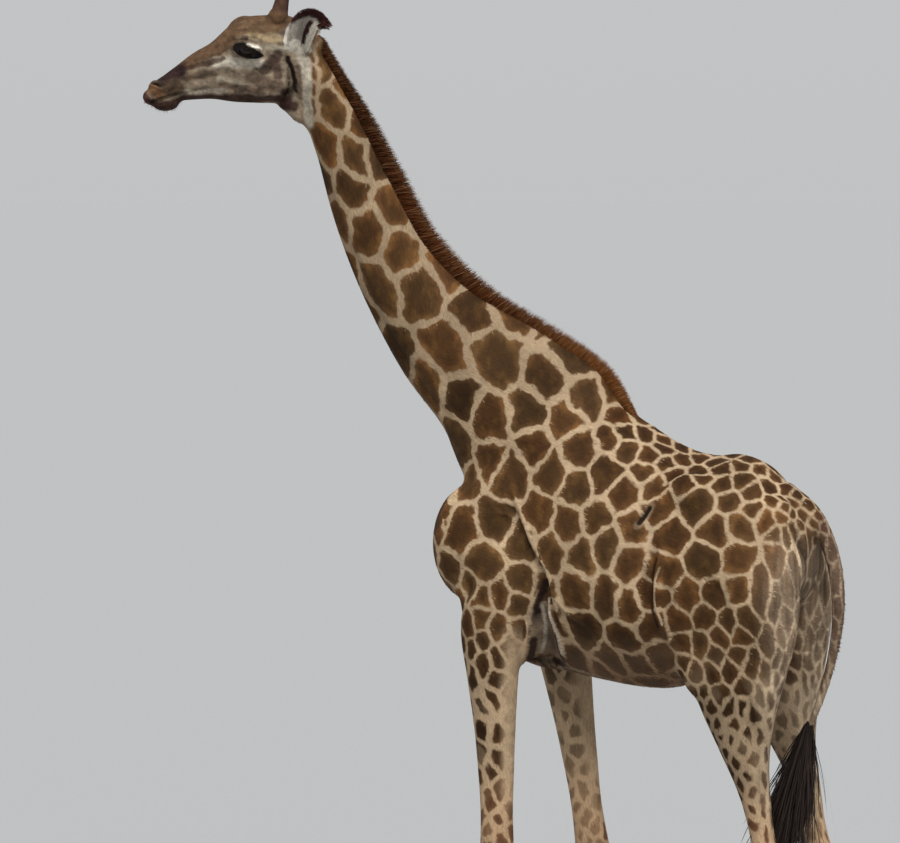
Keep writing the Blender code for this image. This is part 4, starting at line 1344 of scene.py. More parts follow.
@dataclass
class Markings:
    """The coat's colours anywhere on the animal: brown patches parted by cream lines, with painted shade and
    highlight.

    Patches are the cells round seeds that are strewn over the skin, wider or closer and
    longer or rounder by where on the body they lie.

    Attributes:
        skin: the skin that the seeds are strewn over.
        seed: starts the draws of chance.
        candidates: how many of the skin's points are tried as seeds.
        most: how many seeds there may be.
        cream: the plain colour of the lines.
        brown: the plain colour of the patches.
    """

    skin: bpy.types.Object
    seed: int
    candidates: int = 70000
    most: int = 6000
    cream: tuple = (0.42, 0.3, 0.182)
    brown: tuple = (0.07, 0.036, 0.0138)

    def __post_init__(self) -> None:
        """Strews the seeds."""
        noise.seed_set(self.seed)
        self.random = np.random.default_rng(self.seed)
        points = points_of(self.skin)
        self._strew(points[self.random.permutation(len(points))[: self.candidates]])

    def spacing(self, points: np.ndarray) -> np.ndarray:
        """How far apart patches lie.

        Args:
            points: places in the animal's frame.

        Returns:
            The distances.
        """
        x, y, z = points.T
        neck = 0.162 - 0.06 * smoothstep(z, 2.8, 3.85)
        flank = 0.138 - 0.028 * smoothstep(y, 0.6, 0.95)
        spine = np.interp(y, (0.52, 0.68, 0.84, 0.98, 1.22, 1.4), (2.765, 2.72, 2.63, 2.555, 2.53, 2.4))
        crest = smoothstep(z, spine - 0.24, spine - 0.06) * smoothstep(y, 0.6, 0.78)
        flank = flank * (1 - 0.36 * crest)
        levels = (0.2, 0.9, 1.3, 1.6, 1.75, 1.9, 2.05, 2.2)
        fore = np.interp(z, levels, (0.04, 0.05, 0.06, 0.068, 0.072, 0.078, 0.092, 0.11))
        hind = np.interp(z, levels, (0.038, 0.044, 0.05, 0.052, 0.058, 0.07, 0.09, 0.108))
        leg = np.where(y > 0.95, hind, fore)
        limb = smoothstep(z, 2.2, 2.0) * np.maximum(smoothstep(y, 0.58, 0.46), smoothstep(y, 0.96, 1.08))
        body = np.where(z < 1.62, leg, flank * (1 - limb) + np.minimum(leg, flank) * limb)
        body = body * (1 - 0.45 * smoothstep(y, 1.34, 1.46)) * (1 - 0.25 * smoothstep(y, 1.49, 1.53))
        up_neck = (points - np.array(COLLAR_SEAM)) @ np.array(NECK_DORSAL * -0.6 + UP * 0.8)
        on_neck = smoothstep(up_neck, -0.05, 0.15) * smoothstep(y, 0.62, 0.42)
        mixed = body * (1 - on_neck) + neck * on_neck
        on_head = (z > 3.8) & (head_local(points)[:, 0] > -0.03)
        return np.where(on_head, 0.052, mixed)

    def stretch(self, points: np.ndarray) -> tuple[np.ndarray, np.ndarray]:
        """The way patches are drawn out, and by how much.

        Args:
            points: places in the animal's frame.

        Returns:
            Directions, and how many times longer than wide.
        """
        x, y, z = points.T
        neck = smoothstep(z, 2.7, 2.95)
        low = smoothstep(z, 2.0, 1.7)
        rump = smoothstep(y, 1.34, 1.43) * smoothstep(z, 2.3, 2.15)
        way = np.stack([0 * x, 0.45 * neck + 0.1 * low, -np.ones_like(x)], 1)
        amount = 1.15 + 0.2 * neck + 0.15 * low + 1.6 * rump
        return unit(way), amount

    def _strew(self, candidates: np.ndarray) -> None:
        """Drops seeds on the candidates so that none stands too near another.

        Args:
            candidates: places in the animal's frame.
        """
        candidates = candidates[self.random.permutation(len(candidates))]
        reach, (ways, amounts) = self.spacing(candidates), self.stretch(candidates)
        kept: list[int] = []
        seeds = np.empty((self.most, 3))
        for i, place in enumerate(candidates):
            offset = seeds[: len(kept)] - place
            along = offset @ ways[i]
            squared = (offset**2).sum(1) - (1 - amounts[i] ** -2) * along**2
            if len(kept) < len(seeds) and (not kept or squared.min() > (0.8 * reach[i]) ** 2):
                seeds[len(kept)] = place
                kept.append(i)
        chosen = np.array(kept)
        self.seeds = candidates[chosen]
        self.reach, self.ways, self.amounts = reach[chosen], ways[chosen], amounts[chosen]
        self.tones = self.random.uniform(0.0, 1.0, len(chosen))
        self.tree = KDTree(len(chosen))
        for i, place in enumerate(self.seeds):
            self.tree.insert(Vector(place), i)
        self.tree.balance()
        log.info("patches: %d", len(chosen))

    def cells(self, points: np.ndarray) -> tuple[np.ndarray, np.ndarray]:
        """How far each point lies inside its patch's border, and that patch's number.

        Args:
            points: places in the animal's frame.

        Returns:
            Distances and numbers.
        """
        nearest = np.array([[i for _, i, _ in self.tree.find_n(Vector(p), 9)] for p in points])
        offset = points[:, None] - self.seeds[nearest]
        along = np.einsum("nkj,nkj->nk", offset, self.ways[nearest])
        squash = 1 - self.amounts[nearest] ** -2
        scaled = offset - (squash * along)[..., None] * self.ways[nearest]
        length = np.sqrt(np.maximum(np.einsum("nkj,nkj->nk", offset, scaled), 1e-10))
        reach = self.reach[nearest]
        measure = length / reach
        slope = scaled / (length * reach)[..., None]
        rank = np.argsort(measure, axis=1)
        rows = np.arange(len(points))
        first = rank[:, 0]
        total = np.zeros(len(points))
        blunt = 0.022 * reach[rows, first]
        for k in range(1, 6):
            other = rank[:, k]
            steep = np.linalg.norm(slope[rows, other] - slope[rows, first], axis=1)
            gap = (measure[rows, other] - measure[rows, first]) / np.maximum(steep, 1e-3)
            total += np.exp(-gap / blunt)
        return -blunt * np.log(total), nearest[rows, first]

    def half_line(self, points: np.ndarray) -> np.ndarray:
        """Half the width of the cream lines.

        Args:
            points: places in the animal's frame.

        Returns:
            The half widths.
        """
        x, y, z = points.T
        wide = 0.002 + 0.054 * self.spacing(points)
        legs = smoothstep(z, 1.85, 1.55)
        neck = smoothstep(z, 2.5, 3.0) * smoothstep(z, 3.9, 3.7)
        haunch = smoothstep(z, 2.35, 2.1) * smoothstep(y, 0.9, 1.05) * (1 - legs)
        return wide * (1 - 0.2 * haunch) + 0.005 * legs + 0.0034 * neck

    def paint(self, points: np.ndarray, normals: np.ndarray) -> dict[str, np.ndarray]:
        """The attributes that a finish draws the coat from.

        Args:
            points: places on the skin, in the animal's frame.
            normals: the skin's normals there.

        Returns:
            edge, the distance inside a patch's border; strength, how plainly patches show;
            ground and patch, the two colours, painted shade and highlight included; down, how far hair points
            down.
        """
        x, y, z = points.T
        scales = (14.0, 36.0, 85.0)
        wobble, lobes, small = (noise_field(noise.noise_vector, points, scale) for scale in scales)
        size = 0.3 + self.spacing(points)[:, None] * 6.0 + 0.25 * smoothstep(z, 2.0, 1.7)[:, None]
        border, cell = self.cells(points + (0.013 * wobble + 0.0085 * lobes + 0.003 * small) * size)
        tone = self.tones[cell]
        legs = smoothstep(z, 1.8, 1.5)
        vary = self.tones[(cell * 3) % len(self.tones)] - 0.35
        edge = border - self.half_line(points) * (1.0 + (0.35 + 0.75 * legs) * vary)
        mottle = noise_field(noise.noise, points, 9.0)
        blotch = noise_field(noise.fractal, points * (1.0, 1.0, 0.6), 26.0, 1.0, 2.0, 2)
        brown = np.array(self.brown) * (0.72 + 0.5 * tone + 0.24 * mottle)[:, None]
        ruddy = np.array([1.16, 0.96, 0.84])
        brown = brown * (1 + (ruddy - 1) * (self.tones[(cell * 7) % len(self.tones)] * 0.8)[:, None])
        brown = brown * (1 + np.outer(smoothstep(blotch, 0.05, 0.55), (0.52, 0.52, 0.36)))
        along_back = smoothstep(normals[:, 2], 0.25, 0.85) * smoothstep(y, 0.55, 0.75)
        brown = brown * (1 - np.outer(along_back, (0.45, 0.52, 0.6)))
        cream = np.tile(self.cream, (len(points), 1)) * (1 + 0.16 * mottle)[:, None]
        strength = np.full(len(points), 1.0)
        # Painted shade: neck and head darker for their lesser light, and the lower flank and legs darker too.
        throat = smoothstep(z, 2.6, 2.9)
        haunch = smoothstep(z, 2.15, 1.85)
        knees = smoothstep(z, 1.5, 1.1)
        cream = cream * (1 - 0.27 * throat - 0.2 * haunch * (1 - 0.6 * knees))[:, None]
        brown = brown * (1 - 0.08 * throat - 0.35 * haunch)[:, None]
        legs = smoothstep(z, 1.9, 1.6)
        cream = blend(cream, (0.4, 0.285, 0.175), legs * 0.6)
        brown = brown * (1 - 0.25 * legs)[:, None]
        shin = smoothstep(z, 1.45, 1.05)
        cream = blend(cream, (0.4, 0.258, 0.145), shin * 0.8)
        brown = blend(brown, (0.12, 0.056, 0.028), shin * 0.7)
        # Painted shade on the gaskins of the hind legs.
        gaskin = smoothstep(z, 1.78, 1.62) * smoothstep(z, 1.18, 1.42) * smoothstep(y, 0.95, 1.05)
        cream = cream * (1 - 0.3 * gaskin)[:, None]
        brown = brown * (1 - 0.38 * gaskin)[:, None]
        strength *= 1 - 0.35 * smoothstep(z, 1.15, 0.4)
        fore = (y < 0.95) * smoothstep(z, 1.92, 1.78) * smoothstep(z, 1.1, 1.35)
        strength *= 1 - 0.8 * fore * smoothstep(normals[:, 1] + 0.15 * mottle, 0.3, 0.75)
        strength *= 1 - 0.3 * smoothstep(mottle, 0.1, 0.45) * legs
        inner = smoothstep(-normals[:, 0] * np.sign(x), 0.2, 0.8) * smoothstep(z, 1.75, 1.55)
        strength *= 1 - 0.35 * inner
        # Painted shade where the skin faces down above the legs; the pattern there is also fainter.
        under = smoothstep(-normals[:, 2], 0.3, 0.85) * smoothstep(z, 1.6, 1.68)
        cream = blend(cream, (0.19, 0.105, 0.055), under * 0.85)
        brown = blend(brown, (0.05, 0.023, 0.013), under * 0.8)
        strength *= 1 - 0.3 * under
        rear = smoothstep(y + 0.03 * mottle, 1.34, 1.48) * smoothstep(z, 2.32, 2.12) * smoothstep(z, 1.1, 1.4)
        streak = noise_field(noise.noise, points * (60.0, 60.0, 6.0))
        cream = blend(cream, (0.43, 0.335, 0.23), rear * 0.75) * (1 + 0.9 * rear * streak)[:, None]
        brown = blend(brown, (0.13, 0.09, 0.06), rear * 0.6) * (1 + 0.9 * rear * streak)[:, None]
        strength *= 1 - 0.15 * rear
        tail = smoothstep(y, 1.5, 1.55)
        cream = blend(cream, (0.3, 0.215, 0.14), tail * 0.8)
        brown = blend(brown, (0.05, 0.026, 0.018), tail * 0.8)
        cream, brown, strength = self._paint_head(points, normals, cream, brown, strength)
        aside = folded(points) + 0.004 * wobble
        for stroke in BODY_STROKES:
            share = stroke.cover(aside)
            brown = blend(brown, stroke.colour, share)
            cream = blend(cream, stroke.colour, share)
        # Painted shade in the creases' grooves and painted highlight on their ridges.
        shade = np.ones(len(points))
        for crease in BODY_CREASES + HEAD_CREASES:
            near = crease.closeness(points)
            shade *= 1 + (crease.shade - 1) * near
            # A ridge above 1.2 also turns to cream line: partly the pattern parting over it, partly painted
            # highlight.
            if crease.shade > 1.2 and not crease.on_head:
                edge = edge - 0.03 * near**2
        behind = head_local(points)[:, 0] < 0.03
        down = np.maximum(smoothstep(z, 1.9, 1.65), smoothstep(z, 2.85, 3.05) * behind)
        return {"edge": edge, "strength": strength, "down": down,
            "ground": np.clip(cream * shade[:, None], 0.004, 0.8),
            "patch": np.clip(brown * shade[:, None], 0.003, 0.8)}

    def _paint_head(
        self,
        points: np.ndarray,
        normals: np.ndarray,
        cream: np.ndarray,
        brown: np.ndarray,
        strength: np.ndarray,
    ) -> tuple[np.ndarray, ...]:
        """The head's colours, laid over the coat's in strokes: its own, and painted highlight and shade.

        Args:
            points: places in the animal's frame.
            normals: the skin's normals there.
            cream: the ground's colour.
            brown: the patches' colour.
            strength: how plainly they show.

        Returns:
            The three of them, with the head laid over.
        """
        local = head_local(points)
        spots = folded(local, 1) + 0.006 * noise_field(noise.noise_vector, points, 30.0)
        up_here = points[:, 2] > 3.66
        on_head = smoothstep(spots[:, 0], -0.035, 0.055) * (points[:, 2] > 3.72)
        drawn = noise_field(noise.noise, spots * (22.0, 75.0, 75.0))
        mottle = noise_field(noise.fractal, points, 38.0, 1.0, 2.0, 3) * 1.35 + 0.75 * drawn
        base = np.outer(1 + 0.5 * mottle, (0.215, 0.164, 0.114))

        def lay(colour: Sequence, share: np.ndarray) -> None:
            """Lays one colour over what is there.

            Args:
                colour: the colour.
                share: how much of it each place takes.
            """
            nonlocal cream, brown, strength
            tone = np.outer(1 + 0.36 * mottle, colour)
            cream = blend(cream, tone, share)
            brown = blend(brown, tone * 0.75, share)
            strength = strength * (1 - 0.85 * share)

        cream = blend(cream, base, on_head)
        brown = blend(brown, base * 0.55, on_head)
        strength = strength * (1 - 0.75 * on_head)
        for stroke in HEAD_STROKES:
            lay(stroke.colour, stroke.cover(spots) * up_here)
        for side in Side:
            # The dark lids round each eye, with painted shade under the lashes.
            lay((0.004, 0.003, 0.0025), 0.99 * EyeForm(side).dark(points))
            form = EarForm(side)
            share, across, inner = form.coordinates(points, normals)
            on_ear = smoothstep(share, 0.02, 0.12) * (np.abs(across) < 1.5) * (np.abs(local[:, 1]) > 0.06)
            lay((0.52, 0.475, 0.4), on_ear * inner)
            # Painted shade in the ear's hollow.
            lay((0.27, 0.235, 0.18), 0.75 * on_ear * inner * form.shell(share, across))
            lay((0.2, 0.13, 0.085), on_ear * (1 - inner))
            # Painted shadow in the ear's opening.
            lay((0.012, 0.006, 0.005), on_ear * inner * form.slit(share, across))
            lay((0.048, 0.016, 0.014), on_ear * form.tip(share, across))
        return cream, brown, strength


@dataclass(frozen=True)
class Stroke:
    """A soft streak of colour on both sides of body or head.

    Attributes:
        colour: what is laid on.
        radius: half the streak's width.
        share: how far it covers what is under it.
        path: its middle line.
        bare: half the width of the strip that it keeps clear of tufts.
    """

    colour: tuple
    radius: float
    share: float
    path: tuple
    bare: float = 0.0

    def cover(self, spots: np.ndarray) -> np.ndarray:
        """How far the streak covers each place, given as (forward, off the middle, height).

        Args:
            spots: places in the stroke's frame, the right side folded onto the left.

        Returns:
            A share for each place.
        """
        path = np.array(self.path)
        near = boxed(spots, path, 1.4 * self.radius + 0.03)
        cover = np.zeros(len(spots))
        if len(near):
            distance = distance_to_path(spots[near], settled(path, spots[near], 0.6 * self.radius))
            cover[near] = self.share * smoothstep(distance, 1.35 * self.radius, 0.55 * self.radius)
        return cover


BODY_STROKES = (
    # The slits before the hip and before the fold of the flank: painted shade in them, painted highlight
    # beside.
    Stroke((0.4, 0.29, 0.18), 0.0165, 0.35,
        ((0.247, 0.96, 2.352), (0.268, 0.94, 2.318), (0.286, 0.922, 2.286))),
    Stroke((0.017, 0.009, 0.005), 0.0118, 0.98,
        ((0.237, 0.956, 2.346), (0.257, 0.94, 2.317), (0.273, 0.924, 2.292)), bare=0.026),
    Stroke((0.36, 0.26, 0.165), 0.0048, 0.7,
        ((0.31, 1.022, 2.14), (0.33, 1.01, 2.08), (0.325, 1.01, 2.0), (0.3, 1.026, 1.93))),
    Stroke((0.02, 0.01, 0.006), 0.007, 0.92,
        ((0.31, 1.006, 2.17), (0.33, 0.992, 2.08), (0.325, 0.992, 2.0), (0.3, 1.006, 1.92)), bare=0.024),
    # Armpit: a grey wash, painted shade as a dark line behind the arm and a dark pocket below, painted
    # highlight on folds.
    Stroke((0.15, 0.11, 0.08), 0.06, 0.75, ((0.22, 0.51, 1.9), (0.15, 0.49, 1.76)), bare=0.05),
    Stroke((0.022, 0.011, 0.008), 0.016, 0.94,
        ((0.25, 0.528, 2.05), (0.2, 0.47, 1.87), (0.13, 0.416, 1.71)), bare=0.034),
    Stroke((0.03, 0.016, 0.012), 0.01, 0.85, ((0.21, 0.554, 1.9), (0.12, 0.537, 1.72))),
    Stroke((0.36, 0.3, 0.23), 0.0065, 0.85,
        ((0.27, 0.54, 2.0), (0.262, 0.556, 1.94), (0.236, 0.58, 1.85), (0.16, 0.575, 1.72))),
    Stroke((0.32, 0.27, 0.205), 0.0075, 0.8,
        ((0.2, 0.493, 1.965), (0.158, 0.491, 1.89), (0.136, 0.469, 1.824), (0.123, 0.451, 1.777))),
    Stroke((0.012, 0.006, 0.004), 0.02, 0.95, ((0.075, 0.39, 1.71), (0.092, 0.47, 1.715))),
    Stroke((0.34, 0.27, 0.19), 0.006, 0.8, ((0.08, 0.48, 1.68), (0.12, 0.597, 1.7), (0.12, 0.72, 1.66))),
)

HEAD_STROKES = (
    # Pale cheek under the eye, and the lower jaw's pale side.
    Stroke((0.43, 0.385, 0.31), 0.021, 0.85,
        ((0.35, 0.064, 3.982), (0.28, 0.082, 3.975), (0.175, 0.085, 3.975))),
    Stroke((0.34, 0.29, 0.22), 0.012, 0.75, ((0.48, 0.04, 3.862), (0.39, 0.05, 3.866), (0.31, 0.05, 3.868))),
    Stroke((0.33, 0.285, 0.215), 0.014, 0.6, ((0.33, 0.06, 3.915), (0.29, 0.06, 3.905), (0.24, 0.06, 3.89))),
    # Forehead and crown.
    Stroke((0.098, 0.052, 0.026), 0.066, 0.96,
        ((0.46, 0.0, 4.02), (0.34, 0.0, 4.1), (0.24, 0.0, 4.17), (0.06, 0.0, 4.17))),
    Stroke((0.098, 0.054, 0.028), 0.05, 0.92, ((0.11, 0.05, 4.15), (0.04, 0.045, 4.13), (-0.02, 0.03, 4.09))),
    Stroke((0.1, 0.056, 0.03), 0.042, 0.94, ((0.48, 0.035, 3.985), (0.38, 0.05, 4.025), (0.32, 0.07, 4.055))),
    Stroke((0.11, 0.063, 0.032), 0.038, 0.92,
        ((0.3, 0.075, 4.085), (0.23, 0.08, 4.115), (0.12, 0.075, 4.12))),
    # Yellower hair over and behind the eye.
    Stroke((0.26, 0.19, 0.1), 0.019, 0.66,
        ((0.205, 0.095, 4.078), (0.155, 0.09, 4.07), (0.115, 0.085, 4.066))),
    Stroke((0.3, 0.26, 0.19), 0.011, 0.75,
        ((0.15, 0.092, 4.034), (0.105, 0.088, 4.03), (0.065, 0.085, 4.03))),
    # Brown stripe down the face from the eye towards the nose.
    Stroke((0.05, 0.027, 0.017), 0.01, 0.85, ((0.48, 0.05, 3.955), (0.4, 0.06, 3.97), (0.315, 0.072, 3.992))),
    Stroke((0.095, 0.06, 0.036), 0.018, 0.7,
        ((0.49, 0.048, 3.925), (0.43, 0.055, 3.925), (0.37, 0.06, 3.935))),
    # Brown patches on the cheek and behind the eye.
    Stroke((0.042, 0.026, 0.019), 0.021, 0.9,
        ((0.165, 0.085, 3.945), (0.14, 0.085, 3.975), (0.108, 0.08, 4.005))),
    Stroke((0.06, 0.034, 0.026), 0.017, 0.8, ((0.12, 0.085, 3.985), (0.108, 0.08, 3.93))),
    Stroke((0.085, 0.055, 0.037), 0.024, 0.8,
        ((0.215, 0.075, 3.92), (0.15, 0.07, 3.895), (0.11, 0.06, 3.89))),
    Stroke((0.08, 0.048, 0.033), 0.017, 0.75, ((0.32, 0.06, 3.89), (0.23, 0.06, 3.872), (0.17, 0.06, 3.865))),
    # Jaw's underside: darker hair, with painted shade.
    Stroke((0.032, 0.014, 0.011), 0.024, 0.94, ((0.47, 0.015, 3.832), (0.3, 0.03, 3.83), (0.1, 0.04, 3.828))),
    # Dark rear edge of the jaw, and the white behind it down the throat.
    Stroke((0.36, 0.32, 0.25), 0.021, 0.85,
        ((0.03, 0.08, 4.03), (0.004, 0.08, 3.96), (0.0, 0.07, 3.86), (0.012, 0.06, 3.74))),
    Stroke((0.1, 0.065, 0.045), 0.013, 0.7, ((0.036, 0.08, 3.96), (0.034, 0.075, 3.9), (0.038, 0.06, 3.84))),
    Stroke((0.014, 0.006, 0.005), 0.011, 0.97,
        ((0.072, 0.08, 3.99), (0.056, 0.07, 3.91), (0.06, 0.06, 3.86))),
    Stroke((0.024, 0.01, 0.008), 0.024, 0.94,
        ((0.068, 0.05, 3.85), (0.095, 0.02, 3.825), (0.05, 0.02, 3.815))),
    # Dark bridge of the nose, ruddy upper lip, dark lower lip and rims.
    Stroke((0.052, 0.031, 0.018), 0.036, 0.94, ((0.545, 0.04, 3.885), (0.495, 0.045, 3.885))),
    Stroke((0.02, 0.009, 0.009), 0.035, 0.97,
        ((0.58, 0.0, 3.925), (0.53, 0.028, 3.93), (0.48, 0.034, 3.945))),
    Stroke((0.14, 0.07, 0.032), 0.022, 0.92,
        ((0.6, 0.026, 3.886), (0.575, 0.042, 3.868), (0.556, 0.046, 3.852))),
    Stroke((0.045, 0.017, 0.012), 0.018, 0.95,
        ((0.628, 0.0, 3.865), (0.622, 0.022, 3.86), (0.604, 0.034, 3.834))),
    Stroke((0.045, 0.017, 0.012), 0.02, 0.95, ((0.632, 0.0, 3.89), (0.632, 0.0, 3.845))),
    Stroke((0.03, 0.013, 0.01), 0.029, 0.97,
        ((0.585, 0.02, 3.808), (0.53, 0.032, 3.812), (0.49, 0.03, 3.815))),
    # A painted highlight along the upper lid's edge, and the brown brow before it.
    Stroke((0.05, 0.028, 0.017), 0.012, 0.8,
        ((0.292, 0.09, 4.036), (0.262, 0.1, 4.058), (0.232, 0.105, 4.064))),
    Stroke((0.52, 0.48, 0.4), 0.0062, 0.6, ((0.222, 0.105, 4.046), (0.2, 0.105, 4.04), (0.17, 0.1, 4.03))),
    Stroke((0.64, 0.61, 0.54), 0.0042, 0.9,
        ((0.222, 0.105, 4.043), (0.2, 0.105, 4.038), (0.182, 0.1, 4.031))),
)


class Graph:
    """Lays out the nodes of one material."""

    def __init__(self, name: str, **settings: object) -> None:
        """Starts a material.

        Args:
            name: its name.
            **settings: plain values of its shader's inputs, by their names.
        """
        self.material = bpy.data.materials.new(name)
        self.material.use_nodes = True
        self.tree = self.material.node_tree
        self.shader = self.tree.nodes["Principled BSDF"]
        for key, value in settings.items():
            self.shader.inputs[key.replace("_", " ")].default_value = value

    def add(self, kind: str, inputs: dict, out: object = 0, **settings: object) -> Socket:
        """One node of a kind, fed with sockets or plain values, as its output socket.

        Args:
            kind: the node's type, without its first word.
            inputs: what its inputs are fed, by name or number.
            out: which output is wanted.
            **settings: its other settings.

        Returns:
            The output.
        """
        node = self.tree.nodes.new("ShaderNode" + kind)
        for key, value in settings.items():
            setattr(node, key, value)
        for key, value in inputs.items():
            self.feed(node.inputs[key], value)
        return node.outputs[out]

    def feed(self, socket: Socket, value: object) -> None:
        """Links a socket to another, or sets it to a plain value.

        Args:
            socket: the input.
            value: an output, or a plain value.
        """
        if isinstance(value, Socket):
            self.tree.links.new(value, socket)
        else:
            socket.default_value = value

    def attribute(self, name: str, out: str = "Color") -> Socket:
        """A number or colour stored on the mesh."""
        return self.add("Attribute", {}, out=out, attribute_name=name)

    def place(self) -> Socket:
        """The place on the object."""
        return self.add("TexCoord", {}, out="Object")

    def math(self, operation: str, first: object, second: object = 0.0) -> Socket:
        """One sum on numbers."""
        return self.add("Math", {0: first, 1: second}, operation=operation)

    def noise(self, place: object, scale: float, detail: float = 3.0, rough: float = 0.55) -> Socket:
        """A field of smooth noise between 0 and 1."""
        return self.add("TexNoise", {"Vector": place, "Scale": scale, "Detail": detail, "Roughness": rough})

    def spread(
        self, value: object, low: float, high: float, to_low: float = 0.0, to_high: float = 1.0
    ) -> Socket:
        """A number carried smoothly from one span onto another."""
        span = {"Value": value, "From Min": low, "From Max": high, "To Min": to_low, "To Max": to_high}
        return self.add("MapRange", span, interpolation_type="SMOOTHSTEP")

    def mix(self, share: object, first: object, second: object, blend: str = "MIX") -> Socket:
        """Two colours run together."""
        return self.add("Mix", {0: share, 6: first, 7: second}, out=2, data_type="RGBA", blend_type=blend)

    def shaded(self, colour: object, by: object) -> Socket:
        """A colour made lighter or darker by a number."""
        grey = self.add("CombineColor", {0: by, 1: by, 2: by})
        return self.mix(1.0, colour, grey, blend="MULTIPLY")

    def strokes(self, way: tuple, fine: float, long: float) -> Socket:
        """Noise drawn out along a direction, as hair lies.

        Args:
            way: the direction.
            fine: how many to the metre across it.
            long: how many along it.

        Returns:
            The noise.
        """
        place = self.place()
        along = self.add("VectorMath", {0: place, 1: way}, out="Value", operation="DOT_PRODUCT")
        taken = self.add("VectorMath", {0: way, "Scale": along}, operation="SCALE")
        across = self.add("VectorMath", {0: place, 1: taken}, operation="SUBTRACT")
        wide = self.add("VectorMath", {0: across, "Scale": fine}, operation="SCALE")
        drawn = self.add("VectorMath", {0: taken, "Scale": long}, operation="SCALE")
        both = self.add("VectorMath", {0: wide, 1: drawn}, operation="ADD")
        return self.noise(both, 1.0, 3.0, 0.6)

    def bump(self, height: object, distance: float, strength: float, below: object = None) -> Socket:
        """A relief, laid over another where one is given.

        Args:
            height: the relief.
            distance: its depth.
            strength: its share.
            below: the normals it is laid over.

        Returns:
            The normals.
        """
        inputs = {"Height": height, "Distance": distance, "Strength": strength}
        if below is not None:
            inputs["Normal"] = below
        return self.add("Bump", inputs)

    def finish(self, colour: object, normal: object, rough: object = None) -> bpy.types.Material:
        """The material, with its colour and relief plugged in.

        Args:
            colour: its colour.
            normal: its normals.
            rough: its roughness, where that varies.

        Returns:
            The material.
        """
        self.feed(self.shader.inputs["Base Color"], colour)
        self.feed(self.shader.inputs["Normal"], normal)
        if rough is not None:
            self.feed(self.shader.inputs["Roughness"], rough)
        return self.material


@dataclass(frozen=True)
class HideFinish:
    """Short matt hair over skin, its markings drawn from the mesh's attributes.

    Attributes:
        name: the finish's name.
    """

    name: str = "hide"

    def material(self) -> bpy.types.Material:
        """Patches with uneven borders, fine hair along the body, and its relief.

        Returns:
            The material.
        """
        g = Graph(self.name, Roughness=0.75, Specular_IOR_Level=0.08)
        place = g.place()
        down = g.attribute("down", "Fac")

        def lying(fine: float, long: float) -> Socket:
            """Strokes that run back, or down where the hair does.

            Args:
                fine: how close they lie across their length.
                long: how close they lie along it.

            Returns:
                Their relief.
            """
            back, drop = g.strokes(HAIR_BACK, fine, long), g.strokes(HAIR_DOWN, fine, long)
            kept = g.math("MULTIPLY", back, g.math("SUBTRACT", 1.0, down))
            return g.math("ADD", kept, g.math("MULTIPLY", drop, down))

        hair, clump = lying(520.0, 42.0), lying(150.0, 26.0)
        wander = g.math("MULTIPLY", g.math("SUBTRACT", g.noise(place, 38.0, 4.0), 0.5), 0.012)
        ragged = g.math("MULTIPLY", g.math("SUBTRACT", hair, 0.5), 0.011)
        edge = g.math("ADD", g.math("ADD", g.attribute("edge", "Fac"), wander), ragged)
        inside = g.math("MULTIPLY", g.spread(edge, *BORDER), g.attribute("strength", "Fac"))
        deep = g.shaded(g.attribute("patch"), g.spread(edge, *PATCH_DEPTH, RIM_TONE, RIM_TONE - TONE_DROP))
        coat = g.mix(inside, g.attribute("ground"), deep)
        coat = g.shaded(coat, g.spread(g.noise(place, 7.0, 5.0, 0.6), 0.2, 0.8, 0.84, 1.14))
        coat = g.shaded(coat, g.spread(clump, 0.25, 0.75, 0.88, 1.11))
        coat = g.shaded(coat, g.spread(hair, 0.25, 0.75, 0.72, 1.24))
        low = g.bump(g.noise(place, 46.0, 4.0), 0.004, 0.3)
        mid = g.bump(clump, 0.0026, 0.5, low)
        return g.finish(coat, g.bump(hair, 0.0013, 0.6, mid))


@dataclass(frozen=True)
class HairFinish:
    """Locks and tufts, each in its own colour, from root to tip.

    Attributes:
        name: the finish's name.
        root: how light they are at the root.
        tip: how light they are at the tip.
        rough: how rough they are.
    """

    name: str
    root: float = 0.8
    tip: float = 1.12
    rough: float = 0.62

    def material(self) -> bpy.types.Material:
        """The lock's own colour, darker at its root, with fine hairs along it.

        Returns:
            The material.
        """
        g = Graph(self.name, Roughness=self.rough, Specular_IOR_Level=0.05)
        grain = g.noise(g.place(), 900.0, 2.0)
        own = g.attribute("hair")
        colour = g.shaded(own, g.spread(g.attribute("tip", "Fac"), 0.0, 0.9, self.root, self.tip))
        colour = g.shaded(colour, g.spread(grain, 0.25, 0.75, 0.86, 1.14))
        return g.finish(colour, g.bump(grain, 0.0004, 0.35))


@dataclass(frozen=True)
class HornFinish:
    """Worn horn with growth rings, patched with dust.

    Attributes:
        name: the finish's name.
        colour: the clean horn's colour.
        rings: how close the rings lie.
    """

    name: str
    colour: tuple
    rings: float

    def material(self) -> bpy.types.Material:
        """Rings, fine grain along the wall, and dust.

        Returns:
            The material.
        """
        g = Graph(self.name, Roughness=0.55, Specular_IOR_Level=0.35)
        place = g.place()
        squeezed = g.add("VectorMath", {0: place, 1: (6.0, 6.0, self.rings)}, operation="MULTIPLY")
        ring = g.noise(squeezed, 1.0, 3.0)
        upright = g.strokes((0.0, 0.0, 1.0), 480.0, 30.0)
        dust = g.spread(g.noise(place, 22.0, 5.0), 0.42, 0.72)
        horn = g.shaded(self.colour, g.spread(ring, 0.3, 0.7, 0.65, 1.35))
        horn = g.shaded(horn, g.spread(upright, 0.25, 0.75, 0.8, 1.2))
        horn = g.mix(g.math("MULTIPLY", dust, 0.45), horn, (0.3, 0.245, 0.18, 1.0))
        relief = g.bump(upright, 0.0009, 0.5, g.bump(ring, 0.0022, 0.7))
        return g.finish(horn, relief, g.spread(dust, 0.0, 1.0, 0.46, 0.8))


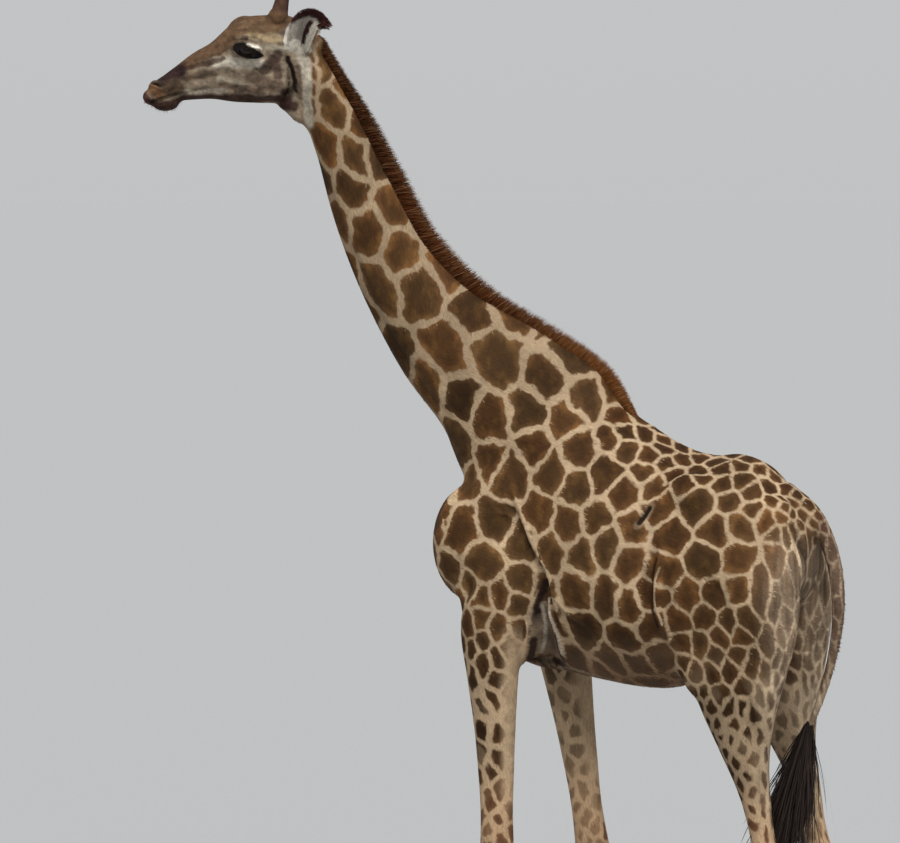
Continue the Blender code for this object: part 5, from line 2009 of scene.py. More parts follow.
@dataclass(frozen=True)
class EyeFinish:
    """A wet dark eye.

    Attributes:
        name: the finish's name.
    """

    name: str = "eye"

    def material(self) -> bpy.types.Material:
        """The ball's own colours under a clear coat.

        Returns:
            The material.
        """
        g = Graph(self.name, Roughness=0.2, Specular_IOR_Level=0.25, Coat_Weight=0.12, Coat_Roughness=0.03)
        veins = g.noise(g.place(), 520.0, 4.0)
        colour = g.shaded(g.attribute("hair"), g.spread(veins, 0.3, 0.7, 0.7, 1.3))
        return g.finish(colour, g.bump(veins, 0.0001, 0.1))


@dataclass(frozen=True)
class FloorFinish:
    """A plain pale floor.

    Attributes:
        name: the finish's name.
    """

    name: str = "floor"

    def material(self) -> bpy.types.Material:
        """Even pale grey, faintly uneven.

        Returns:
            The material.
        """
        g = Graph(self.name, Roughness=0.85, Specular_IOR_Level=0.2)
        grain = g.noise(g.place(), 30.0, 4.0)
        colour = g.shaded((0.3846, 0.3867, 0.3852, 1.0), g.spread(grain, 0.2, 0.8, 0.98, 1.02))
        return g.finish(colour, g.bump(grain, 0.0005, 0.2))


def set_attribute(obj: bpy.types.Object, name: str, values: np.ndarray) -> None:
    """Stores a number or a colour for each vertex.

    Args:
        obj: the mesh object.
        name: the attribute's name.
        values: numbers, or rows of red, green and blue.
    """
    mesh = obj.data
    if values.ndim == 1:
        mesh.attributes.new(name, "FLOAT", "POINT").data.foreach_set("value", values.astype(np.float32))
        return
    rgba = np.concatenate([values, np.ones((len(values), 1))], axis=1).astype(np.float32)
    mesh.attributes.new(name, "FLOAT_COLOR", "POINT").data.foreach_set("color", rgba.ravel())


def smooth_shaded(obj: bpy.types.Object) -> None:
    """Shades every face of an object smoothly."""
    obj.data.polygons.foreach_set("use_smooth", np.ones(len(obj.data.polygons), bool))


@dataclass(frozen=True)
class Strands:
    """Tapering blades of hair, one row of each array a blade, made as one mesh.

    Attributes:
        roots: where each grows from.
        ways: the way it sets out.
        bends: how far its tip is carried off, in lengths of the blade.
        lengths: root to tip.
        widths: width at the root.
        normals: which way its flat side looks, and how it is shaded.
        colours: its colour.
        levels: stretches between root and tip.
        places: the corner of its patch on the bake map.
        patch: how wide that patch is.
    """

    roots: np.ndarray
    ways: np.ndarray
    bends: np.ndarray
    lengths: np.ndarray
    widths: np.ndarray
    normals: np.ndarray
    colours: np.ndarray
    levels: int = 2
    places: Optional[np.ndarray] = None
    patch: float = 0.003

    def build(self, name: str, own_normals: bool = True) -> bpy.types.Object:
        """The mesh object, with its colours and its bake map.

        Args:
            name: the piece's name.
            own_normals: whether blades are shaded as the field normals says.

        Returns:
            The object, in the scene.
        """
        count, levels = len(self.roots), self.levels
        sides = unit(np.cross(self.ways, self.normals))
        steps = 2 * levels + 1
        points = np.empty((count, steps, 3))
        flat = np.empty((count, steps, 2))
        for k in range(levels + 1):
            t = k / levels
            spine = self.roots + self.lengths[:, None] * (self.ways * t + self.bends * t * t)
            if k == levels:
                points[:, 2 * k] = spine
                flat[:, 2 * k] = (0.5, 1.0)
                continue
            half = 0.5 * self.widths * (1.0 - 0.55 * t)
            for j, sign in enumerate((-1.0, 1.0)):
                points[:, 2 * k + j] = spine + sign * half[:, None] * sides
                flat[:, 2 * k + j] = (j, t)
        faces = [(2 * k, 2 * k + 1, 2 * k + 3, 2 * k + 2) for k in range(levels - 1)]
        pattern = np.array([i for quad in faces for i in quad] + [2 * levels - 2, 2 * levels - 1, 2 * levels])
        sizes = np.array([4] * (levels - 1) + [3])
        loops = (pattern[None] + steps * np.arange(count)[:, None]).ravel()
        totals = np.tile(sizes, count)
        starts = np.concatenate([[0], np.cumsum(totals)[:-1]])
        mesh = bpy.data.meshes.new(name)
        mesh.vertices.add(count * steps)
        mesh.vertices.foreach_set("co", points.ravel())
        mesh.loops.add(len(loops))
        mesh.loops.foreach_set("vertex_index", loops.astype(np.int32))
        mesh.polygons.add(len(totals))
        mesh.polygons.foreach_set("loop_start", starts.astype(np.int32))
        mesh.update(calc_edges=True)
        mesh.validate()
        obj = bpy.data.objects.new(name, mesh)
        bpy.context.scene.collection.objects.link(obj)
        set_attribute(obj, "hair", np.repeat(self.colours, steps, axis=0))
        set_attribute(obj, "tip", np.tile(flat[0, :, 1], count))
        places, patch = self.places, self.patch
        if places is None:
            row = math.ceil(math.sqrt(count))
            number = np.arange(count)
            places = np.stack([number % row, number // row], 1) / row
            patch = 0.8 / row
        mapped = (places[:, None] + patch * flat).reshape(-1, 2)
        layer = mesh.uv_layers.new(name="OFBake")
        layer.data.foreach_set("uv", mapped[loops].astype(np.float32).ravel())
        smooth_shaded(obj)
        if own_normals:
            mesh.normals_split_custom_set_from_vertices(np.repeat(unit(self.normals), steps, axis=0))
        return obj


@dataclass(frozen=True)
class Roots:
    """Places that hair grows from, with what the skin holds there.

    Attributes:
        at: the places.
        normal: the skin's normals there.
        colour: its colours there.
    """

    at: np.ndarray
    normal: np.ndarray
    colour: np.ndarray

    def only(self, chosen: np.ndarray) -> "Roots":
        """Some of the places."""
        return Roots(self.at[chosen], self.normal[chosen], self.colour[chosen])


@dataclass
class Hairy:
    """A sub-assembly that is strewn by chance.

    Attributes:
        quick: whether it is made thinner, for a trial.
        seed: starts its draws of chance.
    """

    quick: bool
    seed: int

    def __post_init__(self) -> None:
        """Starts the draws."""
        self.random = np.random.default_rng(self.seed)

    def normals_near(self, ways: np.ndarray, spread: float) -> np.ndarray:
        """Directions strewn about the ones given."""
        return unit(ways + spread * self.random.normal(0.0, 1.0, ways.shape))


@dataclass
class Coat(Hairy):
    """Tufts of short hair over the skin, lying along the body.

    Attributes:
        skin: the skin that they stand on.
        painted: what is painted on the skin.
        thinned: how many times fewer there are in a trial.
        piece_limit: the most tufts in one piece.
        sunk: how deep a root is set into the skin.
        bald_nose: how far ahead the muzzle turns bare.
        eye_room: the bare ring round the middle of an eye.
    """

    skin: bpy.types.Object
    painted: dict
    thinned: float = 6.0
    piece_limit: int = 60000
    sunk: float = 0.0012
    bald_nose: float = 0.585
    eye_room: float = 0.045

    def density(self, points: np.ndarray, normals: np.ndarray) -> np.ndarray:
        """Tufts to the square metre.

        Args:
            points: places in the animal's frame.
            normals: the skin's normals there.

        Returns:
            A number for each point.
        """
        x, y, z = points.T
        local = head_local(points)
        on_head = (local[:, 0] > -0.03) & (z > HEAD_FLOOR)
        lower = smoothstep(-normals[:, 2], 0.3, 0.8) * smoothstep(z, 1.5, 1.6)
        backs = smoothstep(normals[:, 1], 0.4, 0.8) * smoothstep(z, 2.4, 2.2)
        plain = 8500 + 9000 * lower + 6000 * backs
        face = 26000 + 20000 * smoothstep(local[:, 0], 0.05, -0.02)
        return np.where(on_head, face, plain) / (self.thinned if self.quick else 1.0)

    def length(self, points: np.ndarray, normals: np.ndarray) -> np.ndarray:
        """How long the tufts are.

        Args:
            points: places in the animal's frame.
            normals: the skin's normals there.

        Returns:
            The lengths.
        """
        x, y, z = points.T
        forward = head_local(points)[:, 0]
        on_head = (forward > -0.03) & (z > HEAD_FLOOR)
        lower = smoothstep(-normals[:, 2], 0.3, 0.8) * smoothstep(z, 1.5, 1.65)
        backs = smoothstep(normals[:, 1], 0.5, 0.9) * smoothstep(z, 2.3, 2.1)
        backs = backs * smoothstep(z, 0.9, 1.2) * (y < 1.5)
        feet = smoothstep(z, 0.4, 0.15)
        body = 0.017 + 0.01 * lower + 0.001 * backs - 0.007 * feet
        face = np.interp(forward, (-0.02, 0.1, 0.35, 0.5, 0.6), (0.014, 0.01, 0.007, 0.0055, 0.004))
        return np.where(on_head, face, body)

    def way(self, points: np.ndarray, normals: np.ndarray) -> np.ndarray:
        """The way hair lies.

        Args:
            points: places in the animal's frame.
            normals: the skin's normals there.

        Returns:
            Directions along the skin.
        """
        x, y, z = points.T
        forward = head_local(points)[:, 0]
        flow = np.tile(HAIR_BACK, (len(points), 1))
        flow = blend(flow, (0.0, 0.45, -0.9), smoothstep(z, 2.55, 2.85))
        flow = blend(flow, (0.0, 0.15, -0.98), smoothstep(z, 1.85, 1.65))
        to_poll = -HEAD_FORWARD * 0.94 - UP * 0.25
        flow = blend(flow, to_poll, smoothstep(forward, -0.02, 0.06) * (z > HEAD_FLOOR))
        for side in Side:
            form = EarForm(side)
            share, across, _ = form.coordinates(points, normals)
            on_ear = smoothstep(share, 0.04, 0.2) * (np.abs(across) < 1.6)
            flow = blend(flow, form.track(share.clip(0.0, 1.0))[1], on_ear)
        flow = flow + self.random.normal(0.0, 0.1, flow.shape)
        return unit(flow - (flow * normals).sum(1)[:, None] * normals)

    def roots(self) -> Roots:
        """Scatters roots over the skin by their density.

        Returns:
            The roots that stand clear of eyes, nose and bare folds.
        """
        mesh = self.skin.data
        mesh.calc_loop_triangles()
        corners = np.empty(len(mesh.loop_triangles) * 3, np.int32)
        mesh.loop_triangles.foreach_get("vertices", corners)
        corners = corners.reshape(-1, 3)
        points, normals = points_of(self.skin), normals_of(self.skin)
        a, b, c = (points[corners[:, k]] for k in range(3))
        area = 0.5 * np.linalg.norm(np.cross(b - a, c - a), axis=1)
        share = area * self.density(points, normals)[corners].mean(1)
        count = int(share.sum())
        picked = self.random.choice(len(corners), count, p=share / share.sum())
        u, v = self.random.uniform(size=(2, count))
        over = u + v > 1
        u[over], v[over] = 1 - u[over], 1 - v[over]
        weights = np.stack([1 - u - v, u, v], 1)[..., None]

        def at(values: np.ndarray) -> np.ndarray:
            """What the skin's points hold, at the roots."""
            return (values[corners[picked]] * weights).sum(1)

        edge = at(self.painted["edge"][:, None])[:, 0] + self.random.normal(0.0, 0.0025, count)
        strength = at(self.painted["strength"][:, None])[:, 0]
        deep = at(self.painted["patch"]) * (RIM_TONE - TONE_DROP * smoothstep(edge, *PATCH_DEPTH))[:, None]
        colour = blend(at(self.painted["ground"]), deep, smoothstep(edge, *BORDER) * strength)
        colour = colour * self.random.normal(1.0, 0.13, count).clip(0.6, 1.5)[:, None]
        place = at(points)
        clear = np.ones(count, bool)
        for side in Side:
            form = EyeForm(side)
            spots = form.local(place)
            clear &= (np.linalg.norm(spots, axis=1) > self.eye_room) | (form.outside(spots) > 0.006)
        for stroke in BODY_STROKES:
            if stroke.bare:
                clear &= replace(stroke, radius=stroke.bare, share=1.0).cover(folded(place)) < 0.5
        clear &= ~((head_local(place)[:, 0] > self.bald_nose) & (place[:, 2] > HEAD_FLOOR))
        return Roots(place[clear], unit(at(normals))[clear], colour[clear])

    def zone_of(self, points: np.ndarray) -> np.ndarray:
        """The stretch of skin each place is on, by its number in Zone.

        Args:
            points: places in the animal's frame.

        Returns:
            The numbers.
        """
        x, y, z = points.T
        up = (points - np.array(COLLAR_SEAM)) @ np.array([0.0, -0.515, 0.857])
        zone = np.full(len(points), 2)
        zone[up > 0.02] = 1
        zone[(z > HEAD_FLOOR) & (head_local(points)[:, 0] > -0.05)] = 0
        zone[z < 1.62] = 3
        return zone

    def unwrapped(self, zone: int, points: np.ndarray) -> np.ndarray:
        """Each place on an unwrap of its zone's shape, from 0 to 1 both ways.

        Args:
            zone: the zone's number.
            points: places in the animal's frame.

        Returns:
            Two numbers for each point.
        """
        x, y, z = points.T
        if zone == 0:
            local = head_local(points)
            turn = np.arctan2(local[:, 1], local[:, 2] - 3.98)
            along = (local[:, 0] + 0.28) / 0.95
        elif zone == 1:
            middle = np.interp(z, (2.5, 2.95, 3.5, 3.85), (0.35, 0.03, -0.27, -0.41))
            centre = np.interp(z, (2.5, 2.95, 3.5, 3.85), (0.01, 0.09, 0.2, 0.27))
            turn = np.arctan2(x - centre, middle - y)
            along = (z - 2.2) / 1.9
        elif zone == 2:
            turn = np.arctan2(x, z - 2.2)
            along = (y + 0.2) / 2.0
        else:
            rear, left = y > 0.95, x > 0
            middle = np.where(rear, 1.4, np.where(left, 0.33, 0.52))
            turn = np.arctan2(np.abs(x) - LEG_OUT, y - middle)
            over = 0.01 + (rear * 2 + left) * 0.25 + 0.23 * (turn + math.pi) / (2 * math.pi)
            return np.stack([over, 0.01 + 0.97 * z / 1.65], 1)
        over = 0.01 + 0.97 * (turn + math.pi) / (2 * math.pi)
        return np.stack([over, np.clip(0.01 + 0.97 * along, 0.0, 0.99)], 1)

    def build(self) -> list[bpy.types.Object]:
        """The tufts, one or more pieces for each zone.

        Returns:
            The pieces.
        """
        roots = self.roots()
        zones = self.zone_of(roots.at)
        finish = HairFinish("coat_tufts").material()
        made = []
        for number, zone in enumerate(Zone):
            rows = np.flatnonzero(zones == number)
            part_count = max(1, math.ceil(len(rows) / self.piece_limit))
            for part in range(part_count):
                some = roots.only(rows[part::part_count])
                name = f"coat_{zone.value}" + (f"_{part + 1}" if part_count > 1 else "")
                piece = self._tufts(name, some, number)
                piece.data.materials.append(finish)
                made.append(piece)
        return made

    def _tufts(self, name: str, roots: Roots, zone: int) -> bpy.types.Object:
        """The tufts of one piece.

        Args:
            name: the piece's name.
            roots: where they stand.
            zone: the zone's number.

        Returns:
            The piece.
        """
        count = len(roots.at)
        lengths = self.length(roots.at, roots.normal) * self.random.uniform(0.7, 1.3, count)
        lift = self.random.uniform(0.05, 0.24, count)[:, None]
        ways = unit(self.way(roots.at, roots.normal) + lift * roots.normal)
        return Strands(
            roots=roots.at - roots.normal * self.sunk,
            ways=ways,
            bends=-0.12 * roots.normal,
            lengths=lengths,
            widths=0.0011 + 0.1 * lengths * self.random.uniform(0.7, 1.3, count),
            normals=roots.normal,
            colours=roots.colour,
            places=self.unwrapped(zone, roots.at),
        ).build(name)


def hair_core(name: str, shape: Shape, colour: tuple) -> bpy.types.Object:
    """The dark body that long hair stands round.

    Args:
        name: its name.
        shape: its points and faces.
        colour: its colour.

    Returns:
        The piece.
    """
    core = new_object(name, [shape])
    smooth_shaded(core)
    count = len(core.data.vertices)
    set_attribute(core, "hair", np.tile(colour, (count, 1)))
    set_attribute(core, "tip", np.full(count, 0.4))
    return core


@dataclass
class Mane(Hairy):
    """The stiff crest along the nape, from the poll to the withers.

    Attributes:
        anatomy: the neck that it stands on.
        count: how many blades it has.
        trial_count: how many it has in a trial.
        first: place and hair length at the withers.
        lengths: hair lengths at the neck's stations.
        poll: place along the head, and hair length, of its upper end.
        core_side: half the core's thickness.
        core_share: the core's height as a share of the hair's length.
        half: how far to the side the roots stand.
        lean: how far the hair leans towards the withers.
    """

    anatomy: Anatomy
    count: int = 16000
    trial_count: int = 4000
    first: tuple = (0.002, 0.79, 2.645, 0.012)
    lengths: tuple = (0.066, 0.08, 0.082, 0.08, 0.076, 0.066, 0.052)
    poll: tuple = ((-0.03, 0.0, 4.07), 0.036)
    core_side: float = 0.015
    core_share: float = 0.62
    half: float = 0.018
    lean: float = 0.22

    def crest(self) -> np.ndarray:
        """Rows of place and hair length along the crest, from the withers to the poll.

        Returns:
            The rows.
        """
        rows = [self.first]
        for station, length in zip(self.anatomy.neck[1:8], self.lengths):
            rows.append((*(Vector(station.at) + NECK_DORSAL * (station.over - 0.016)), length))
        rows.append((*head_point(*self.poll[0]), self.poll[1]))
        return smooth_rows(rows, 12)

    def build(self) -> list[bpy.types.Object]:
        """The hair, and the core that it stands round.

        Returns:
            The two pieces.
        """
        path = self.crest()
        stations = []
        for x, y, z, length in path[::8]:
            stations.append(Station((x, y, z), self.core_side, length * self.core_share, 0.022, -0.7))
        core = hair_core("mane_core", loft(stations, NECK_DORSAL, ring=16, steps=3), (0.06, 0.022, 0.01))
        count = self.trial_count if self.quick else self.count
        number = self.random.uniform(0.0, len(path) - 1.001, count)
        low = number.astype(int)
        rows = blend(path[low], path[low + 1], number - low)
        along = unit(path[low + 1, :3] - path[low, :3])
        dorsal = np.array(NECK_DORSAL)
        out = unit(dorsal - (along @ dorsal)[:, None] * along)
        aside = np.cross(along, out)
        spread = self.random.uniform(-1.0, 1.0, count)
        lean = self.random.normal(0.0, 0.1, (count, 1))
        ways = unit(out + aside * (0.1 * spread)[:, None] - along * (self.lean + lean))
        lengths = rows[:, 3] * self.random.uniform(0.72, 1.12, count)
        clump = noise_field(noise.noise, np.stack([number * 1.7, 0.3 * spread, 0 * number], 1))
        colours = self._colours(rows, lengths, clump, spread)
        sunk = 0.004 + 0.004 * np.abs(spread)
        hair = Strands(
            roots=rows[:, :3] + aside * (self.half * spread)[:, None] - out * sunk[:, None],
            ways=ways,
            bends=-0.1 * along + 0.05 * clump[:, None] * aside,
            lengths=lengths,
            widths=self.random.uniform(0.0018, 0.0036, count),
            normals=self.normals_near(aside * np.sign(spread)[:, None], 0.5),
            colours=colours,
            levels=3,
        ).build("mane_locks", own_normals=False)
        finish = HairFinish("mane_hair", root=0.7, tip=1.45).material()
        for piece in (core, hair):
            piece.data.materials.append(finish)
        return [hair, core]

    def _colours(
        self, rows: np.ndarray, lengths: np.ndarray, clump: np.ndarray, spread: np.ndarray
    ) -> np.ndarray:
        """Rust brown, yellower at the withers, darker at the poll and in the mane's middle.

        Args:
            rows: place and hair length.
            lengths: the blades' lengths.
            clump: the clumps' noise.
            spread: how far aside each stands, from -1 to 1.

        Returns:
            The colours.
        """
        tone = (1.0 + 0.16 * clump + self.random.normal(0.0, 0.2, len(rows))).clip(0.4, 1.8)
        pale = smoothstep(lengths / rows[:, 3], 0.96, 1.1) * 0.55
        withers = smoothstep(rows[:, 1], 0.3, 0.6) * 0.6
        poll = smoothstep(rows[:, 2], 3.3, 3.8) * 0.45
        warm = blend((0.066, 0.018, 0.0048), (0.19, 0.07, 0.018), withers)
        colours = (tone * (1 - poll))[:, None] * blend(warm, (0.2, 0.105, 0.048), pale)
        return colours * (1 - 0.25 * smoothstep(np.abs(spread), 0.5, 0.0))[:, None]


@dataclass
class TailTuft(Hairy):
    """The long black hair at the end of the tail.

    Attributes:
        count: how many blades it has.
        trial_count: how many it has in a trial.
        rows: place and reach of the tuft, from the tail's end down.
        lowest: the height that no hair hangs below.
        lengths: the shortest and longest hair.
        core_share: the core's reach as a share of the tuft's.
    """

    count: int = 2600
    trial_count: int = 900
    rows: tuple = (
        (0.005, 1.482, 1.565, 0.02),
        (0.008, 1.455, 1.47, 0.046),
        (0.01, 1.425, 1.36, 0.06),
        (0.012, 1.4, 1.24, 0.058),
        (0.014, 1.385, 1.11, 0.042),
        (0.016, 1.38, 0.99, 0.012),
    )
    lowest: float = 0.985
    lengths: tuple = (0.16, 0.46)
    core_share: float = 0.55

    def build(self) -> list[bpy.types.Object]:
        """The long hair, and the dark core in it.

        Returns:
            The two pieces.
        """
        path = smooth_rows(self.rows, 6)
        stations = [Station(tuple(row[:3]), *[row[3] * self.core_share] * 3) for row in path[:24:4]]
        core = hair_core("tail_tuft_core", loft(stations, BACK, ring=16), (0.01, 0.008, 0.007))
        count = self.trial_count if self.quick else self.count
        number = self.random.uniform(0.0, 1.0, count) ** 1.3 * 14.0
        low = number.astype(int)
        rows = blend(path[low], path[low + 1], number - low)
        angle = self.random.uniform(0.0, 2 * math.pi, count)
        out = np.stack([np.cos(angle), np.sin(angle), 0 * angle], 1)
        fall = unit(np.array([0.004, -0.2, -0.98]) + 0 * out)
        ways = unit(fall + out * self.random.uniform(0.04, 0.34, count)[:, None])
        stray = (self.random.uniform(size=count) < 0.12)[:, None]
        ways = unit(ways + stray * out * 0.25)
        lengths = np.minimum(self.random.uniform(*self.lengths, count), (rows[:, 2] - self.lowest) * 0.99)
        tone = self.random.uniform(0.6, 1.7, count)
        hair = Strands(
            roots=rows[:, :3] + out * (rows[:, 3:] * self.random.uniform(0.1, 0.75, (count, 1))),
            ways=ways,
            bends=-0.16 * out + 0.05 * self.random.normal(0.0, 1.0, (count, 3)) * (1.0, 1.0, 0.2),
            lengths=lengths,
            widths=self.random.uniform(0.0025, 0.006, count),
            normals=self.normals_near(out, 0.4),
            colours=np.outer(tone, (0.017, 0.012, 0.01)),
            levels=6,
        ).build("tail_tuft_locks", own_normals=False)
        finish = HairFinish("tail_hair", root=0.9, tip=1.3, rough=0.42).material()
        for piece in (core, hair):
            piece.data.materials.append(finish)
        return [hair, core]


@dataclass
class FaceHair(Hairy):
    """Lashes, the hair of the ears, and the whiskers of the chin.

    Attributes:
        skin: the skin that the whiskers stand on.
        thinned: how many times fewer there are in a trial.
        lash_counts: lashes on the upper and on the lower lid.
        ear_counts: hairs within an ear, and round its rim.
        whisker_count: whiskers in all.
    """

    skin: bpy.types.Object
    thinned: int = 3
    lash_counts: tuple = (120, 40)
    ear_counts: tuple = (2600, 1500)
    whisker_count: int = 180

    def _number(self, full: int) -> int:
        """How many hairs there are, fewer in a trial."""
        return full // (self.thinned if self.quick else 1)

    def lashes(self, side: Side) -> bpy.types.Object:
        """Long dark lashes along the upper lid, short ones along the lower.

        Args:
            side: which eye's.

        Returns:
            The piece.
        """
        form = EyeForm(side)
        along, rise, out = form.axes()
        upper, lower = map(self._number, self.lash_counts)
        count = upper + lower
        is_upper = np.arange(count) < upper
        at = self.random.uniform(-0.96, 0.98, count)
        height = np.where(is_upper, form.half_height, -form.half_height * 0.7)
        height = height * (1 - at**2) ** 0.8 + np.where(is_upper, 0.0015, -0.001)
        reach = at * form.half_length
        ball = np.sqrt(np.maximum(EYE_RADIUS**2 - reach**2 - height**2, 1e-6)) + 0.003
        roots = form.centre + np.outer(reach, along) + np.outer(height, rise) + np.outer(ball, out)
        ways = out + np.outer(np.where(is_upper, -0.25, -0.6), rise) + np.outer(at * 0.3 - 0.25, along)
        ways = unit(ways + self.random.normal(0.0, 0.1, (count, 3)))
        long, short = self.random.uniform(0.02, 0.036, count), self.random.uniform(0.008, 0.014, count)
        return Strands(
            roots=roots,
            ways=ways,
            bends=np.outer(np.where(is_upper, -0.25, -0.1), rise) - 0.1 * along,
            lengths=np.where(is_upper, long, short),
            widths=np.full(count, 0.0011),
            normals=np.tile(rise, (count, 1)),
            colours=np.tile((0.01, 0.007, 0.006), (count, 1)),
            levels=4,
        ).build(f"lashes_{side.word}", own_normals=False)

    def ear(self, side: Side) -> bpy.types.Object:
        """Pale hair within the ear, and a dark fringe round its rim and tip.

        Args:
            side: which ear's.

        Returns:
            The piece.
        """
        form = EarForm(side)
        inner, rim = map(self._number, self.ear_counts)
        count = inner + rim
        within = np.arange(count) < inner
        inside, outside = self.random.uniform(0.02, 0.88, count), self.random.uniform(0.05, 1.0, count)
        share = np.where(within, inside, outside**0.8)
        inside, outside = self.random.uniform(-0.92, 0.92, count), self.random.choice((-1.0, 1.0), count)
        across = np.where(within, inside, outside)
        _, along, face, width = form.track(share)
        outward = np.sign(across) * np.abs(across) ** 2
        ways = np.where(
            within[:, None],
            along + 0.35 * face - (outward * 0.7)[:, None] * width,
            along + 0.1 * face + (outward * 0.45)[:, None] * width,
        )
        ways = unit(ways + self.random.normal(0.0, 0.16, (count, 3)))
        rear = side.value * across
        # Hair in the opening darkens with its painted shadow, hair in the hollow with its painted shade.
        slit = form.slit(share, rear) * within
        dark = np.maximum(slit, form.tip(share, rear))
        shell = form.shell(share, rear) * within
        cream = np.outer(self.random.uniform(0.7, 1.15, count) * (1 - 0.45 * shell), (0.56, 0.51, 0.43))
        colour = blend(cream, np.outer(self.random.uniform(0.7, 1.4, count), (0.04, 0.015, 0.013)), dark)
        bends = 0.1 * self.random.normal(0.0, 1.0, (count, 3))
        long, short = self.random.uniform(0.012, 0.026, count), self.random.uniform(0.007, 0.013, count)
        return Strands(
            roots=form.surface(share, across, 0.003),
            ways=ways,
            bends=bends,
            lengths=np.where(within, long, short) * (1 - 0.5 * slit),
            widths=np.full(count, 0.0016),
            normals=self.normals_near(face, 0.3),
            colours=colour,
        ).build(f"ear_hair_{side.word}")

    def chin(self) -> bpy.types.Object:
        """Sparse whiskers under the chin and round the lips.

        Returns:
            The piece.
        """
        points, normals = points_of(self.skin), normals_of(self.skin)
        forward, _, height = head_local(points).T
        low = np.flatnonzero((forward > 0.47) & (height < 3.835) & (height > 3.7) & (normals[:, 2] < 0.1))
        chosen = self.random.choice(low, self._number(self.whisker_count), replace=False)
        count = len(chosen)
        ways = unit(normals[chosen] - 0.5 * np.array(UP) + self.random.normal(0.0, 0.2, (count, 3)))
        return Strands(
            roots=points[chosen],
            ways=ways,
            bends=np.tile(np.array(-HEAD_FORWARD * 0.2 - UP * 0.1), (count, 1)),
            lengths=self.random.uniform(0.004, 0.012, count),
            widths=np.full(count, 0.0007),
            normals=unit(np.cross(ways, np.array(HEAD_FORWARD))),
            colours=np.outer(self.random.uniform(0.6, 1.6, count), (0.07, 0.04, 0.03)),
            levels=3,
        ).build("whiskers", own_normals=False)

    def build(self) -> list[bpy.types.Object]:
        """Every piece of the face's hair.

        Returns:
            The pieces.
        """
        made = [self.lashes(side) for side in Side] + [self.ear(side) for side in Side] + [self.chin()]
        finish = HairFinish("face_hair", root=0.85, tip=1.1).material()
        for piece in made:
            piece.data.materials.append(finish)
        return made


